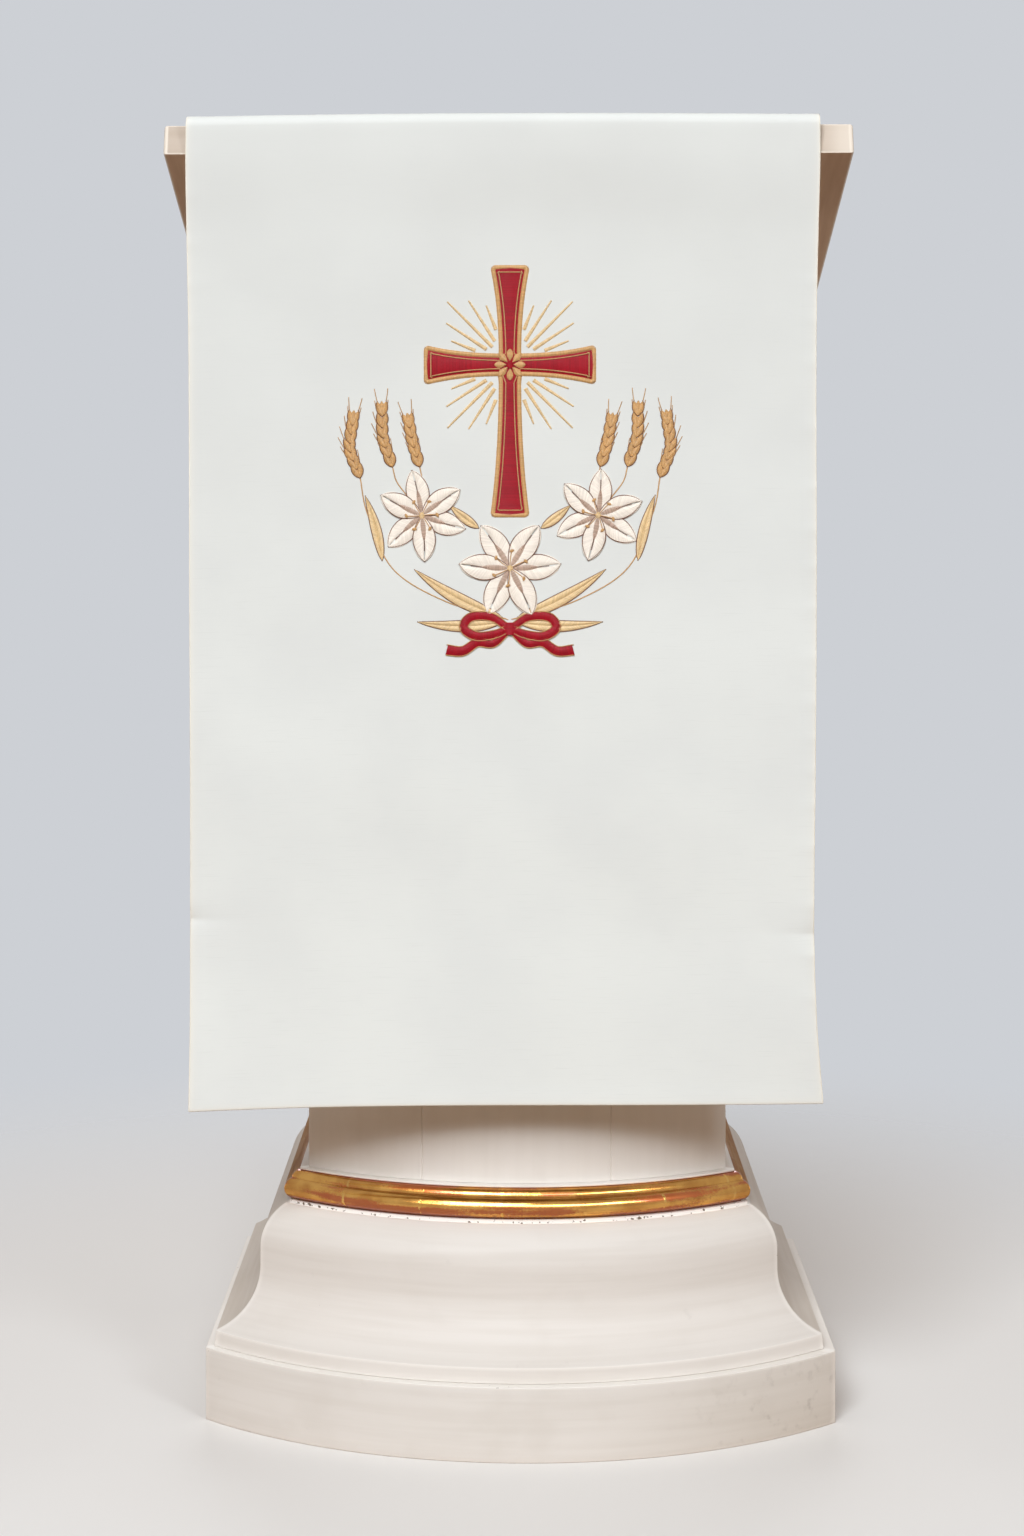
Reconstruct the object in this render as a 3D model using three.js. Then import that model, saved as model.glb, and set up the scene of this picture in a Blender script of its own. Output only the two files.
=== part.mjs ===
// A lectern cover on a pedestal lectern.
//
// The cover is one long strip of stiff, interlined cloth. It hangs down the front of the lectern, bends
// over the high edge of the sloping desk, lies on the desk and falls a short way over its low edge.
// The lectern is painted wood: a desk board on a bowed shaft, which stands on a moulded base with one
// gilded moulding.
//
// Millimetres, +Z up. The cover hangs on the -Y side, which faces the congregation. The reader is at +Y.

import * as THREE from 'three';

// ---- Driving dimensions ----------------------------------------------------------------------------

// Left between pieces that stand on each other.
const JOINT_GAP = 0.3;

// Every layer of the pedestal has the same plan: a bowed front between straight sides, and a flat back.
// A layer is set in from the plinth by the same amount on the front and on both sides.
const PLAN = {
  halfWidth: 305,
  bowRadius: 455,
  depth: 520,
  bowSteps: 24,
};

// How high each layer of the pedestal reaches, and how far in its faces are. The two rounds that are
// gilded run from one angle to another, in degrees from level.
const PLINTH = { top: 70, arris: 1.5 };
const BAND = { top: 85, footInset: 9, headInset: 12, arris: 1 };
const CAVETTO = { radius: 62, centreHeight: 143, steps: 9 };
const OVOLO = { radius: 44.5, centreHeight: 161.5, top: 201, steps: 8 };
const SEAT = { top: 204, inset: 80 };
const TORUS = {
  radius: 10, centreHeight: 215.3, centreInset: 86, footInset: 85, from: -75, to: 62, steps: 10,
};
const BEAD = { radius: 7, centreHeight: 225.2, centreInset: 90.4, from: 0, to: 85, steps: 5 };
const NECK = { top: 234.5, inset: 91 };
const SHAFT = { inset: 99.4 };

// The base moulding sits this far to the left of the plinth, and the shaft as far to the left again.
const STEP_LEFT = 1.5;

// The desk board is a slab whose high edge faces the congregation. It sits a little to the left, too.
const DESK = {
  width: 653,
  length: 500,
  thickness: 30,
  slopeDegrees: 18.5,
  arris: 2,
  frontEdgeHeight: 1248,
  frontEdgeSetBack: 60, // behind the front of the plinth
  left: 11.5, // of the middle of the plinth
};

// The cloth, and how it goes over the desk. It is too stiff to turn sharply, so it rises off the board
// near each edge and goes round the edge on a radius.
const COVER = {
  thickness: 2,
  clearance: 2, // off the edges of the desk
  left: 5.5, // of the middle of the desk
  frontBendRadius: 10,
  frontCrown: 10.8, // top of the cloth above the desk's high edge
  rearBendRadius: 8,
  liftLength: 70, // of the stretch over which it rises off the board
  frontFall: 936, // from the crown to the front hem
  rearFall: 250, // from the desk's low edge to the rear hem
  columns: 16,
};

// The strip isn't quite square on the desk: its sides lie lower at the crown than the middle, and the
// front hem is lower on the left and higher on the right.
const SAG = {
  left: { crown: 2.8, hem: 5.5 },
  right: { crown: 1.6, hem: -2 },
};

// The front fall, from the crown down. left and right are the distances of the two edges from the middle
// of the strip; the other columns say how far the cloth stands forward of plumb at the edges and between.
const FALL = [
  { drop: 10, left: 299.0, right: 299.5, leftForward: 0, middleForward: 0, rightForward: 0 },
  { drop: 45, left: 299.3, right: 299.5, leftForward: 0, middleForward: 0, rightForward: 0 },
  { drop: 110, left: 298.5, right: 298.0, leftForward: -1.5, middleForward: -3, rightForward: -2 },
  { drop: 220, left: 296.5, right: 296.0, leftForward: -0.5, middleForward: -3, rightForward: -1 },
  { drop: 450, left: 295.5, right: 296.0, leftForward: 1, middleForward: 0, rightForward: 1.5 },
  { drop: 620, left: 294.6, right: 295.0, leftForward: 2, middleForward: 1, rightForward: 2 },
  { drop: 768, left: 294.6, right: 293.9, leftForward: 1, middleForward: -1, rightForward: -1 },
  { drop: 860, left: 294.4, right: 296.4, leftForward: 6, middleForward: 1, rightForward: 0 },
  { drop: 936, left: 295.0, right: 302.4, leftForward: 12, middleForward: 3, rightForward: 0 },
];

// A fold kept from storage: a soft trough across the front, deep at the two edges and lost between them.
const CREASE = { leftDrop: 757, rightDrop: 776, depth: 3, halfWidth: 11, spread: 4 };

const WOOD = { colour: 0xe4ddd2, roughness: 0.55 };
const CLOTH = { colour: 0xe8e8e3, roughness: 0.85 };
const GILT = { colour: 0xb8822e, roughness: 0.3, metalness: 0.9 };

// ---- Solids ----------------------------------------------------------------------------------------

// Collects points and triangles for one closed mesh.
class Surface {
  constructor() {
    this.positions = [];
    this.indices = [];
  }

  addPoint(point) {
    this.positions.push(point.x, point.y, point.z);
    return this.positions.length / 3 - 1;
  }

  // Two triangles, with the corners anticlockwise as seen from outside.
  addQuad(a, b, c, d) {
    this.indices.push(a, b, c, a, c, d);
  }

  geometry() {
    const geometry = new THREE.BufferGeometry();
    geometry.setAttribute('position', new THREE.Float32BufferAttribute(this.positions, 3));
    geometry.setIndex(this.indices);
    geometry.computeVertexNormals();
    return geometry;
  }
}

// A closed solid through a stack of rings, lowest first. The rings have as many points as each other,
// anticlockwise as seen from above, and the first and last are the flat ends.
function stackGeometry(rings) {
  const surface = new Surface();
  const ids = rings.map((ring) => ring.map((point) => surface.addPoint(point)));
  const count = rings[0].length;
  for (let level = 0; level < rings.length - 1; level += 1) {
    const low = ids[level];
    const high = ids[level + 1];
    for (let i = 0; i < count; i += 1) {
      const next = (i + 1) % count;
      surface.addQuad(low[i], low[next], high[next], high[i]);
    }
  }
  const bottom = ids[0];
  const top = ids[ids.length - 1];
  for (let i = 1; i < count - 1; i += 1) {
    surface.indices.push(bottom[0], bottom[i + 1], bottom[i]);
    surface.indices.push(top[0], top[i], top[i + 1]);
  }
  return surface.geometry();
}

// A closed sheet of even thickness about a grid of points: rows along the cloth, columns across it from
// left to right. Its face is on the side where the way along, crossed with the way across, points.
function sheetGeometry(rows, thickness) {
  const surface = new Surface();
  const lastRow = rows.length - 1;
  const lastColumn = rows[0].length - 1;
  const face = [];
  const back = [];
  rows.forEach((row, i) => {
    const before = rows[Math.max(i - 1, 0)];
    const after = rows[Math.min(i + 1, lastRow)];
    face.push([]);
    back.push([]);
    row.forEach((point, j) => {
      const along = after[j].clone().sub(before[j]);
      const across = row[Math.min(j + 1, lastColumn)].clone().sub(row[Math.max(j - 1, 0)]);
      const offset = along.cross(across).setLength(thickness / 2);
      face[i].push(surface.addPoint(point.clone().add(offset)));
      back[i].push(surface.addPoint(point.clone().sub(offset)));
    });
  });
  for (let i = 0; i < lastRow; i += 1) {
    for (let j = 0; j < lastColumn; j += 1) {
      surface.addQuad(face[i][j], face[i + 1][j], face[i + 1][j + 1], face[i][j + 1]);
      surface.addQuad(back[i][j], back[i][j + 1], back[i + 1][j + 1], back[i + 1][j]);
    }
    surface.addQuad(face[i][0], back[i][0], back[i + 1][0], face[i + 1][0]);
    const end = lastColumn;
    surface.addQuad(face[i][end], face[i + 1][end], back[i + 1][end], back[i][end]);
  }
  for (let j = 0; j < lastColumn; j += 1) {
    surface.addQuad(face[0][j], face[0][j + 1], back[0][j + 1], back[0][j]);
    surface.addQuad(face[lastRow][j], back[lastRow][j], back[lastRow][j + 1], face[lastRow][j + 1]);
  }
  return surface.geometry();
}

function namedMesh(name, geometry, { colour, roughness, metalness = 0 }) {
  const material = new THREE.MeshStandardMaterial({ color: colour, roughness, metalness });
  const mesh = new THREE.Mesh(geometry, material);
  mesh.name = name;
  return mesh;
}

// ---- The pedestal ----------------------------------------------------------------------------------

// The plan of a layer, starting at its left back corner. heightAt gives the height at a point of it.
function planRing(inset, heightAt) {
  const halfWidth = PLAN.halfWidth - inset;
  const radius = PLAN.bowRadius - inset;
  const reach = Math.asin(halfWidth / radius);
  const corners = [[-halfWidth, PLAN.depth]];
  for (let step = 0; step <= PLAN.bowSteps; step += 1) {
    const angle = reach * ((2 * step) / PLAN.bowSteps - 1);
    corners.push([radius * Math.sin(angle), PLAN.bowRadius - radius * Math.cos(angle)]);
  }
  corners.push([halfWidth, PLAN.depth]);
  return corners.map(([x, y]) => new THREE.Vector3(x, y, heightAt(y)));
}

// A layer of the pedestal from its moulding's profile, a list of [inset, height] from the bottom up.
function layerGeometry(profile) {
  return stackGeometry(profile.map(([inset, height]) => planRing(inset, () => height)));
}

// Points of a moulding's round, from one angle to another. At 0 degrees the round is furthest out where
// it is convex (bulge 1), and furthest in where it is hollow (bulge -1).
function roundProfile({ radius, centreInset, centreHeight, steps }, bulge, fromDegrees, toDegrees) {
  const points = [];
  for (let step = 0; step <= steps; step += 1) {
    const angle = THREE.MathUtils.degToRad(fromDegrees + ((toDegrees - fromDegrees) * step) / steps);
    const inset = centreInset - bulge * radius * Math.cos(angle);
    points.push([inset, centreHeight + radius * Math.sin(angle)]);
  }
  return points;
}

// The angle at which a round reaches a height.
function angleAtHeight({ radius, centreHeight }, height) {
  return THREE.MathUtils.radToDeg(Math.asin((height - centreHeight) / radius));
}

function plinth() {
  const profile = [
    [0, 0],
    [0, PLINTH.top - PLINTH.arris],
    [PLINTH.arris, PLINTH.top],
  ];
  return namedMesh('plinth', layerGeometry(profile), WOOD);
}

// A plain band, then a hollow (cavetto) that runs up into a round (ovolo), and the seat of the gilding.
function baseMoulding() {
  const cavettoStart = angleAtHeight(CAVETTO, BAND.top);
  const hollowDepth = CAVETTO.radius * Math.cos(THREE.MathUtils.degToRad(cavettoStart));
  const cavettoCentre = BAND.headInset - hollowDepth;
  const waistInset = cavettoCentre + CAVETTO.radius;
  const cavetto = { ...CAVETTO, centreInset: cavettoCentre };
  const ovolo = { ...OVOLO, centreInset: waistInset + OVOLO.radius };
  const profile = [
    [BAND.footInset, PLINTH.top + JOINT_GAP],
    [BAND.headInset - BAND.arris, BAND.top - BAND.arris],
    ...roundProfile(cavetto, -1, cavettoStart, 0),
    ...roundProfile(ovolo, 1, 0, angleAtHeight(OVOLO, OVOLO.top)),
    [SEAT.inset, OVOLO.top],
    [SEAT.inset, SEAT.top],
  ];
  return namedMesh('base_moulding', layerGeometry(profile), WOOD);
}

// A torus with a small bead above it.
function giltMoulding() {
  const profile = [
    [TORUS.footInset, SEAT.top + JOINT_GAP],
    ...roundProfile(TORUS, 1, TORUS.from, TORUS.to),
    ...roundProfile(BEAD, 1, BEAD.from, BEAD.to),
  ];
  return namedMesh('gilt_moulding', layerGeometry(profile), GILT);
}

function neckFillet() {
  const foot = BEAD.centreHeight + BEAD.radius + JOINT_GAP;
  const profile = [
    [NECK.inset, foot],
    [NECK.inset, NECK.top],
  ];
  return namedMesh('neck_fillet', layerGeometry(profile), WOOD);
}

// ---- The desk --------------------------------------------------------------------------------------

const slope = THREE.MathUtils.degToRad(DESK.slopeDegrees);
const deskHighEdge = new THREE.Vector3(-DESK.left, DESK.frontEdgeSetBack, DESK.frontEdgeHeight);
const downSlope = new THREE.Vector3(0, Math.cos(slope), -Math.sin(slope));
const offBoard = new THREE.Vector3(0, Math.sin(slope), Math.cos(slope));

// A point over the middle of the board: so far down the slope from the high edge, and so far off it.
function overDesk(distance, height) {
  return deskHighEdge.clone().addScaledVector(downSlope, distance).addScaledVector(offBoard, height);
}

// The shaft stops under the board, so its top slopes with it.
function shaft() {
  const underHighEdge = overDesk(0, -DESK.thickness);
  const topAt = (y) => underHighEdge.z - (y - underHighEdge.y) * Math.tan(slope) - JOINT_GAP;
  const rings = [
    planRing(SHAFT.inset, () => NECK.top + JOINT_GAP),
    planRing(SHAFT.inset, topAt),
  ];
  return namedMesh('shaft', stackGeometry(rings), WOOD);
}

// The slab's section, down the slope and off the board, with eased edges, run from side to side.
function deskBoard() {
  const { length, thickness, arris, width } = DESK;
  const section = new THREE.Shape();
  section.moveTo(arris, -thickness);
  section.lineTo(length - arris, -thickness);
  section.absarc(length - arris, arris - thickness, arris, -Math.PI / 2, 0);
  section.lineTo(length, -arris);
  section.absarc(length - arris, -arris, arris, 0, Math.PI / 2);
  section.lineTo(arris, 0);
  section.absarc(arris, -arris, arris, Math.PI / 2, Math.PI);
  section.lineTo(0, arris - thickness);
  section.absarc(arris, arris - thickness, arris, Math.PI, 1.5 * Math.PI);
  const extrusion = { depth: width, bevelEnabled: false, curveSegments: 3 };
  const board = namedMesh('desk_board', new THREE.ExtrudeGeometry(section, extrusion), WOOD);
  const acrossDesk = new THREE.Vector3(1, 0, 0);
  board.quaternion.setFromRotationMatrix(new THREE.Matrix4().makeBasis(downSlope, offBoard, acrossDesk));
  board.position.copy(deskHighEdge).addScaledVector(acrossDesk, -width / 2);
  return board;
}

// ---- The cover -------------------------------------------------------------------------------------

// The value of a column of a table at a place along it, on a smooth curve through its rows.
function valueAt(table, column, place) {
  const last = table.length - 1;
  let row = 0;
  while (row < last - 1 && table[row + 1].drop < place) row += 1;
  const [before, start, end, after] = [row - 1, row, row + 1, row + 2].map(
    (index) => table[THREE.MathUtils.clamp(index, 0, last)],
  );
  const length = end.drop - start.drop;
  const startSlope = (end[column] - before[column]) / (end.drop - before.drop);
  const endSlope = (after[column] - start[column]) / (after.drop - start.drop);
  const t = THREE.MathUtils.clamp((place - start.drop) / length, 0, 1);
  return (
    start[column] * (1 + 2 * t) * (1 - t) ** 2 +
    startSlope * length * t * (1 - t) ** 2 +
    end[column] * (3 - 2 * t) * t ** 2 -
    endSlope * length * (1 - t) * t ** 2
  );
}

// The cover's path seen from the side, as the middle of the cloth: a list of stations from the rear hem
// to the front hem. drop is how far down the front fall a station is, and sag how much of the sideways
// sag it has.
function coverPath() {
  const { thickness, frontBendRadius, rearBendRadius, liftLength } = COVER;
  const lie = JOINT_GAP + thickness / 2;
  const lowEdge = overDesk(DESK.length, 0);
  const plumbLine = overDesk(0, -DESK.thickness).y - COVER.clearance - thickness / 2;
  const frontCentre = new THREE.Vector3(
    0,
    plumbLine + frontBendRadius,
    DESK.frontEdgeHeight + COVER.frontCrown - thickness / 2 - frontBendRadius,
  );
  const fromHighEdge = frontCentre.clone().sub(deskHighEdge);
  const frontLiftEnd = fromHighEdge.dot(downSlope);
  const frontLift = fromHighEdge.dot(offBoard) + frontBendRadius;
  const stations = [];
  const add = (y, z, drop, sag) => stations.push({ y, z, drop, sag });

  // The rear fall and the bend over the low edge.
  const rearSteps = 4;
  for (let step = 0; step < rearSteps; step += 1) {
    add(lowEdge.y + rearBendRadius, lowEdge.z - COVER.rearFall * (1 - step / rearSteps), 0, 0);
  }
  const bendSteps = 5;
  for (let step = 0; step <= bendSteps; step += 1) {
    const angle = (Math.PI / 2 - slope) * (step / bendSteps);
    add(lowEdge.y + rearBendRadius * Math.cos(angle), lowEdge.z + rearBendRadius * Math.sin(angle), 0, 0);
  }

  // Up the board, lying on it but for the lift at each end.
  const boardSteps = 12;
  for (let step = 1; step < boardSteps; step += 1) {
    const distance = DESK.length + ((frontLiftEnd - DESK.length) * step) / boardSteps;
    const nearFront = 1 - THREE.MathUtils.smoothstep(distance, frontLiftEnd, frontLiftEnd + liftLength);
    const nearRear = THREE.MathUtils.smoothstep(distance, DESK.length - liftLength, DESK.length);
    const height = lie + (frontLift - lie) * nearFront + (rearBendRadius - lie) * nearRear;
    const point = overDesk(distance, height);
    add(point.y, point.z, 0, nearFront);
  }

  // The bend over the high edge, and the front fall.
  const crownSteps = 9;
  for (let step = 0; step <= crownSteps; step += 1) {
    const angle = Math.PI / 2 - slope + (Math.PI / 2 + slope) * (step / crownSteps);
    const z = frontCentre.z + frontBendRadius * Math.sin(angle);
    add(frontCentre.y + frontBendRadius * Math.cos(angle), z, 0, 1);
  }
  const crownHeight = frontCentre.z + frontBendRadius;
  const creaseDrop = (CREASE.leftDrop + CREASE.rightDrop) / 2;
  const coarse = 32;
  const fine = 8;
  let drop = frontBendRadius;
  while (drop < COVER.frontFall) {
    drop += Math.abs(drop - creaseDrop) < coarse ? fine : coarse;
    drop = Math.min(drop, COVER.frontFall);
    add(plumbLine, crownHeight - drop, drop, 1);
  }
  return stations;
}

// How far back the storage fold pulls the cloth, at a place across it from -1 to 1.
function creaseDepth(drop, across) {
  const foldDrop = THREE.MathUtils.lerp(CREASE.leftDrop, CREASE.rightDrop, (across + 1) / 2);
  const offFold = (drop - foldDrop) / CREASE.halfWidth;
  return CREASE.depth * Math.abs(across) ** CREASE.spread * Math.exp(-(offFold ** 2));
}

function cover() {
  const middle = -DESK.left - COVER.left;
  const rows = coverPath().map(({ y, z, drop, sag }) => {
    const place = Math.max(drop, FALL[0].drop);
    const row = [];
    for (let column = 0; column <= COVER.columns; column += 1) {
      const across = Math.sin((Math.PI / 2) * ((2 * column) / COVER.columns - 1));
      const side = across < 0 ? 'left' : 'right';
      const middleForward = valueAt(FALL, 'middleForward', place);
      const edgeForward = valueAt(FALL, `${side}Forward`, place);
      const bow = THREE.MathUtils.lerp(middleForward, edgeForward, across ** 2);
      const forward = bow - creaseDepth(drop, across);
      const edgeSag = THREE.MathUtils.lerp(SAG[side].crown, SAG[side].hem, drop / COVER.frontFall);
      const x = middle + across * valueAt(FALL, side, place);
      row.push(new THREE.Vector3(x, y - forward, z - sag * edgeSag * across ** 2));
    }
    return row;
  });
  return namedMesh('cover_cloth', sheetGeometry(rows, COVER.thickness), CLOTH);
}

// ---- The whole -------------------------------------------------------------------------------------

function movedLeft(mesh, distance) {
  mesh.position.setX(-distance);
  return mesh;
}

const lecternWithCover = new THREE.Group();
lecternWithCover.add(
  plinth(),
  movedLeft(baseMoulding(), STEP_LEFT),
  movedLeft(giltMoulding(), 2 * STEP_LEFT),
  movedLeft(neckFillet(), 2 * STEP_LEFT),
  movedLeft(shaft(), 2 * STEP_LEFT),
  deskBoard(),
  cover(),
);

// The origin is on the floor, under the middle of the whole.
const extent = new THREE.Box3().setFromObject(lecternWithCover, true);
const middleOfExtent = extent.getCenter(new THREE.Vector3());
lecternWithCover.position.set(-middleOfExtent.x, -middleOfExtent.y, 0);

export default lecternWithCover;
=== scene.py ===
# %% [markdown]
# # A lectern cover, hung on its lectern
#
# A lectern cover is one long strip of stiff church cloth. It hangs down the front of the lectern, lies over
# the sloping desk and falls a little way behind it. This lesson builds the cover with its embroidery, and
# the painted and gilded pedestal that carries it.
#
# The solids come first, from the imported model. They fix every size, and each piece made here stands in
# the place of one of them. All lengths are metres. One short function puts a new object in the scene.

# %% Load the frame
import math

import bpy
import numpy as np
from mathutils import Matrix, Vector


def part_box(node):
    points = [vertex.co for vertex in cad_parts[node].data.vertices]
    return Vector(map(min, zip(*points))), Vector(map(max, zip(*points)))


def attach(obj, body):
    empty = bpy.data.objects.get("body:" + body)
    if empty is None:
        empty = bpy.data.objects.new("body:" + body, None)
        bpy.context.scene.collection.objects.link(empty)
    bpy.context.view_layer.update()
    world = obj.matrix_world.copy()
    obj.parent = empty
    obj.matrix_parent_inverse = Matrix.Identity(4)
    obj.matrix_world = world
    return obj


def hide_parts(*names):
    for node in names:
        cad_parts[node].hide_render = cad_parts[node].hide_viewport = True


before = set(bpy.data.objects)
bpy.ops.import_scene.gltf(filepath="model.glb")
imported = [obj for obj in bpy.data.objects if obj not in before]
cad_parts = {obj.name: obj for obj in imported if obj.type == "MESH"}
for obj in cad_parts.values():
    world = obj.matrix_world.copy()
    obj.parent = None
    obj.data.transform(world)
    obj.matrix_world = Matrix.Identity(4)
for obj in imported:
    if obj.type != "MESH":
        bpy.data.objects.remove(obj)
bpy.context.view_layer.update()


def in_scene(name, data):
    """A new object with that data, linked into the scene."""
    made = bpy.data.objects.new(name, data)
    bpy.context.scene.collection.objects.link(made)
    return made


# %% [markdown]
# The pedestal is drawn from the middle of its plinth's front, because every layer above the plinth is set in
# from there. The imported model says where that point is.

# %% Find where the drawing starts
plinth_low, plinth_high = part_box("plinth")
MIDDLE_X = (plinth_low.x + plinth_high.x) / 2
FRONT_Y = plinth_low.y
print("The drawing starts at", round(MIDDLE_X, 4), round(FRONT_Y, 4))


# %% [markdown]
# ## The camera
#
# A tall subject is taken with a level camera, so that its upright edges stay upright. The frame is then
# shifted down, not the camera tilted.

# %% Place the camera
EYE_HEIGHT = 0.88
EYE_DISTANCE = 2.5
EYE_LEFT = 0.0026
EYE_TURN = math.radians(1.0)
FOCAL_LENGTH = 63.28
SHIFT = (0.0272, -0.166)

lens = bpy.data.cameras.new("lens")
lens.lens = FOCAL_LENGTH
lens.shift_x, lens.shift_y = SHIFT
camera = in_scene("camera", lens)
camera.location = (MIDDLE_X - EYE_LEFT, FRONT_Y - EYE_DISTANCE, EYE_HEIGHT)
camera.rotation_euler = (math.radians(90), 0, EYE_TURN)
bpy.context.scene.camera = camera
print("The camera stands", EYE_DISTANCE, "in front of the plinth")


# %% [markdown]
# ## Helpers for shapes
#
# Nearly every piece here is a run of closed rings: up the profile of a moulding, along the board, or along
# the cloth. One helper joins rings into a closed mesh and gives it a map in metres, so that paint, leaf and
# weave can follow the piece. Another rounds corners, because no real edge is perfectly sharp. Before them
# come three short ones, for the length of a line, for directions and for the points of a piece.

# %% Lengths, directions and points
def ways(line):
    """How far along a line each of its points is."""
    return np.concatenate([[0], np.cumsum(np.linalg.norm(np.diff(line, axis=0), axis=1))])


def unit(vectors):
    return vectors / np.linalg.norm(vectors, axis=-1, keepdims=True)


def points_of(piece):
    return np.array([vertex.co for vertex in piece.data.vertices])


# %% Join rings into a closed mesh
def lofted(name, rings, crease=math.radians(38)):
    """A closed piece through rings of equally many points, an even number. Its map runs round and along."""
    rings = np.asarray(rings, float)
    ring_count, count = rings.shape[:2]
    ids = np.arange(ring_count * count).reshape(ring_count, count)
    following = np.roll(ids, -1, axis=1)
    walls = np.stack([ids[:-1], following[:-1], following[1:], ids[1:]], axis=-1).reshape(-1, 4)
    half = count // 2
    ends = []
    for ring in (ids[0], ids[-1][::-1]):
        ends += [(ring[k + 1], ring[k], ring[count - 1 - k], ring[count - 2 - k]) for k in range(half - 1)]
    points = rings.reshape(-1, 3)
    quads = np.concatenate([walls, np.array(ends)])

    closed = np.concatenate([rings, rings[:, :1]], axis=1)
    u = np.broadcast_to(ways(closed[ring_count // 2]), (ring_count, count + 1))
    v = np.broadcast_to(ways(rings[:, half // 2])[:, None], (ring_count, count + 1))
    place = np.stack([u, v], axis=-1)
    wall_map = np.stack([place[:-1, :-1], place[:-1, 1:], place[1:, 1:], place[1:, :-1]], axis=-2)
    end_map = points[quads[len(walls):]][..., :2]
    corners = np.concatenate([wall_map.reshape(-1, 4, 2), end_map])

    a, b, c, d = (points[quads[:, k]] for k in range(4))
    volume = np.einsum("ij,ij->", a, np.cross(b, c)) + np.einsum("ij,ij->", a, np.cross(c, d))
    if volume < 0:
        quads, corners = quads[:, ::-1], corners[:, ::-1]
    return piece_of_quads(name, points, quads, corners, crease)


def piece_of_quads(name, points, quads, corners, crease):
    mesh = bpy.data.meshes.new(name)
    mesh.from_pydata(points.tolist(), [], quads.tolist())
    flat_map = mesh.uv_layers.new(name="Map")
    flat_map.data.foreach_set("uv", np.ascontiguousarray(corners, np.float32).ravel())
    mesh.polygons.foreach_set("use_smooth", np.ones(len(quads), bool))
    mesh.set_sharp_from_angle(angle=crease)
    print(name, "has", 2 * len(quads), "triangles")
    return in_scene(name, mesh)


# %% Round the corners of an outline
def eased(outline, radius, closed=True, steps=4, flat=math.radians(14)):
    """An outline with its sharp corners rounded. Only the first two numbers of a point are its place."""
    points = [np.array(point, float) for point in outline]
    made = []
    for index, corner in enumerate(points):
        before = points[index - 1]
        after = points[(index + 1) % len(points)]
        way_in, way_out = (corner - before)[:2], (after - corner)[:2]
        length_in, length_out = np.linalg.norm(way_in), np.linalg.norm(way_out)
        turn = math.acos(np.clip(way_in @ way_out / (length_in * length_out), -1, 1))
        if turn < flat or (not closed and index in (0, len(points) - 1)):
            made.append(corner)
            continue
        trim = min(radius * math.tan(turn / 2), 0.45 * length_in, 0.45 * length_out)
        start = corner + (before - corner) * trim / length_in
        end = corner + (after - corner) * trim / length_out
        for t in np.linspace(0, 1, steps):
            made.append((1 - t) ** 2 * start + 2 * t * (1 - t) * corner + t**2 * end)
    return np.array(made)


def smooth(value, low, high):
    """0 at low, 1 at high, and an even S between them."""
    t = np.clip((value - low) / (high - low), 0, 1)
    return t * t * (3 - 2 * t)


# %% [markdown]
# ## Two helpers for materials
#
# A node is added with its settings and its inputs in one call. An input is a value, another node's output, or
# a node, which stands for its first output. A marking on a piece, such as how worn each ring is, is stored as
# an attribute and read by name.

# %% Add nodes and attributes
def add(tree, kind, inputs=None, **settings):
    """A new node of that kind, with its settings and its inputs."""
    node = tree.nodes.new(kind)
    for name, value in settings.items():
        setattr(node, name, value)
    for name, value in (inputs or {}).items():
        value = value.outputs[0] if isinstance(value, bpy.types.Node) else value
        if isinstance(value, bpy.types.NodeSocket):
            tree.links.new(value, node.inputs[name])
        else:
            node.inputs[name].default_value = value
    return node


def mark(piece, name, values):
    """Stores one number for each point of the piece."""
    attribute = piece.data.attributes.new(name, "FLOAT", "POINT")
    attribute.data.foreach_set("value", np.ascontiguousarray(values, np.float32).ravel())


# %% [markdown]
# Most of a finish is arithmetic on numbers and colours that change over the surface, so the commonest steps
# get short names. A finish ends in three links, to colour, roughness and a bump, and one call makes them.

# %% Arithmetic and patterns
def maths(tree, operation, first, second=0.0):
    return add(tree, "ShaderNodeMath", {0: first, 1: second}, operation=operation).outputs[0]


def plus(tree, first, second):
    return maths(tree, "ADD", first, second)


def minus(tree, first, second):
    return maths(tree, "SUBTRACT", first, second)


def times(tree, first, second):
    return maths(tree, "MULTIPLY", first, second)


def ramp(tree, value, low, high, to_low=0.0, to_high=1.0):
    """A value from low to high becomes one from to_low to to_high, with soft ends."""
    ends = {0: value, 1: low, 2: high, 3: to_low, 4: to_high}
    return add(tree, "ShaderNodeMapRange", ends, interpolation_type="SMOOTHSTEP").outputs[0]


def blended(tree, share, first, second, blend_type="MIX"):
    colours = {0: share, 6: first, 7: second}
    return add(tree, "ShaderNodeMix", colours, data_type="RGBA", blend_type=blend_type).outputs[2]


def tinted(tree, base, tint):
    """A colour with its red, green and blue each multiplied by a share."""
    return blended(tree, 1.0, base, (*tint, 1), "MULTIPLY")


def map_place(tree):
    """A place on the piece's own map, in metres round it and along it."""
    return add(tree, "ShaderNodeUVMap", uv_map="Map").outputs[0]


def solid_place(tree):
    return add(tree, "ShaderNodeTexCoord").outputs["Object"]


def stretched(tree, place, scale):
    return add(tree, "ShaderNodeMapping", {"Vector": place, "Scale": scale}).outputs[0]


def noise(tree, place, scale, detail):
    return add(tree, "ShaderNodeTexNoise", {"Vector": place, "Scale": scale, "Detail": detail}).outputs[0]


def marked(tree, name):
    """A marking that was stored on the piece."""
    return add(tree, "ShaderNodeAttribute", attribute_name=name).outputs["Fac"]


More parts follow.
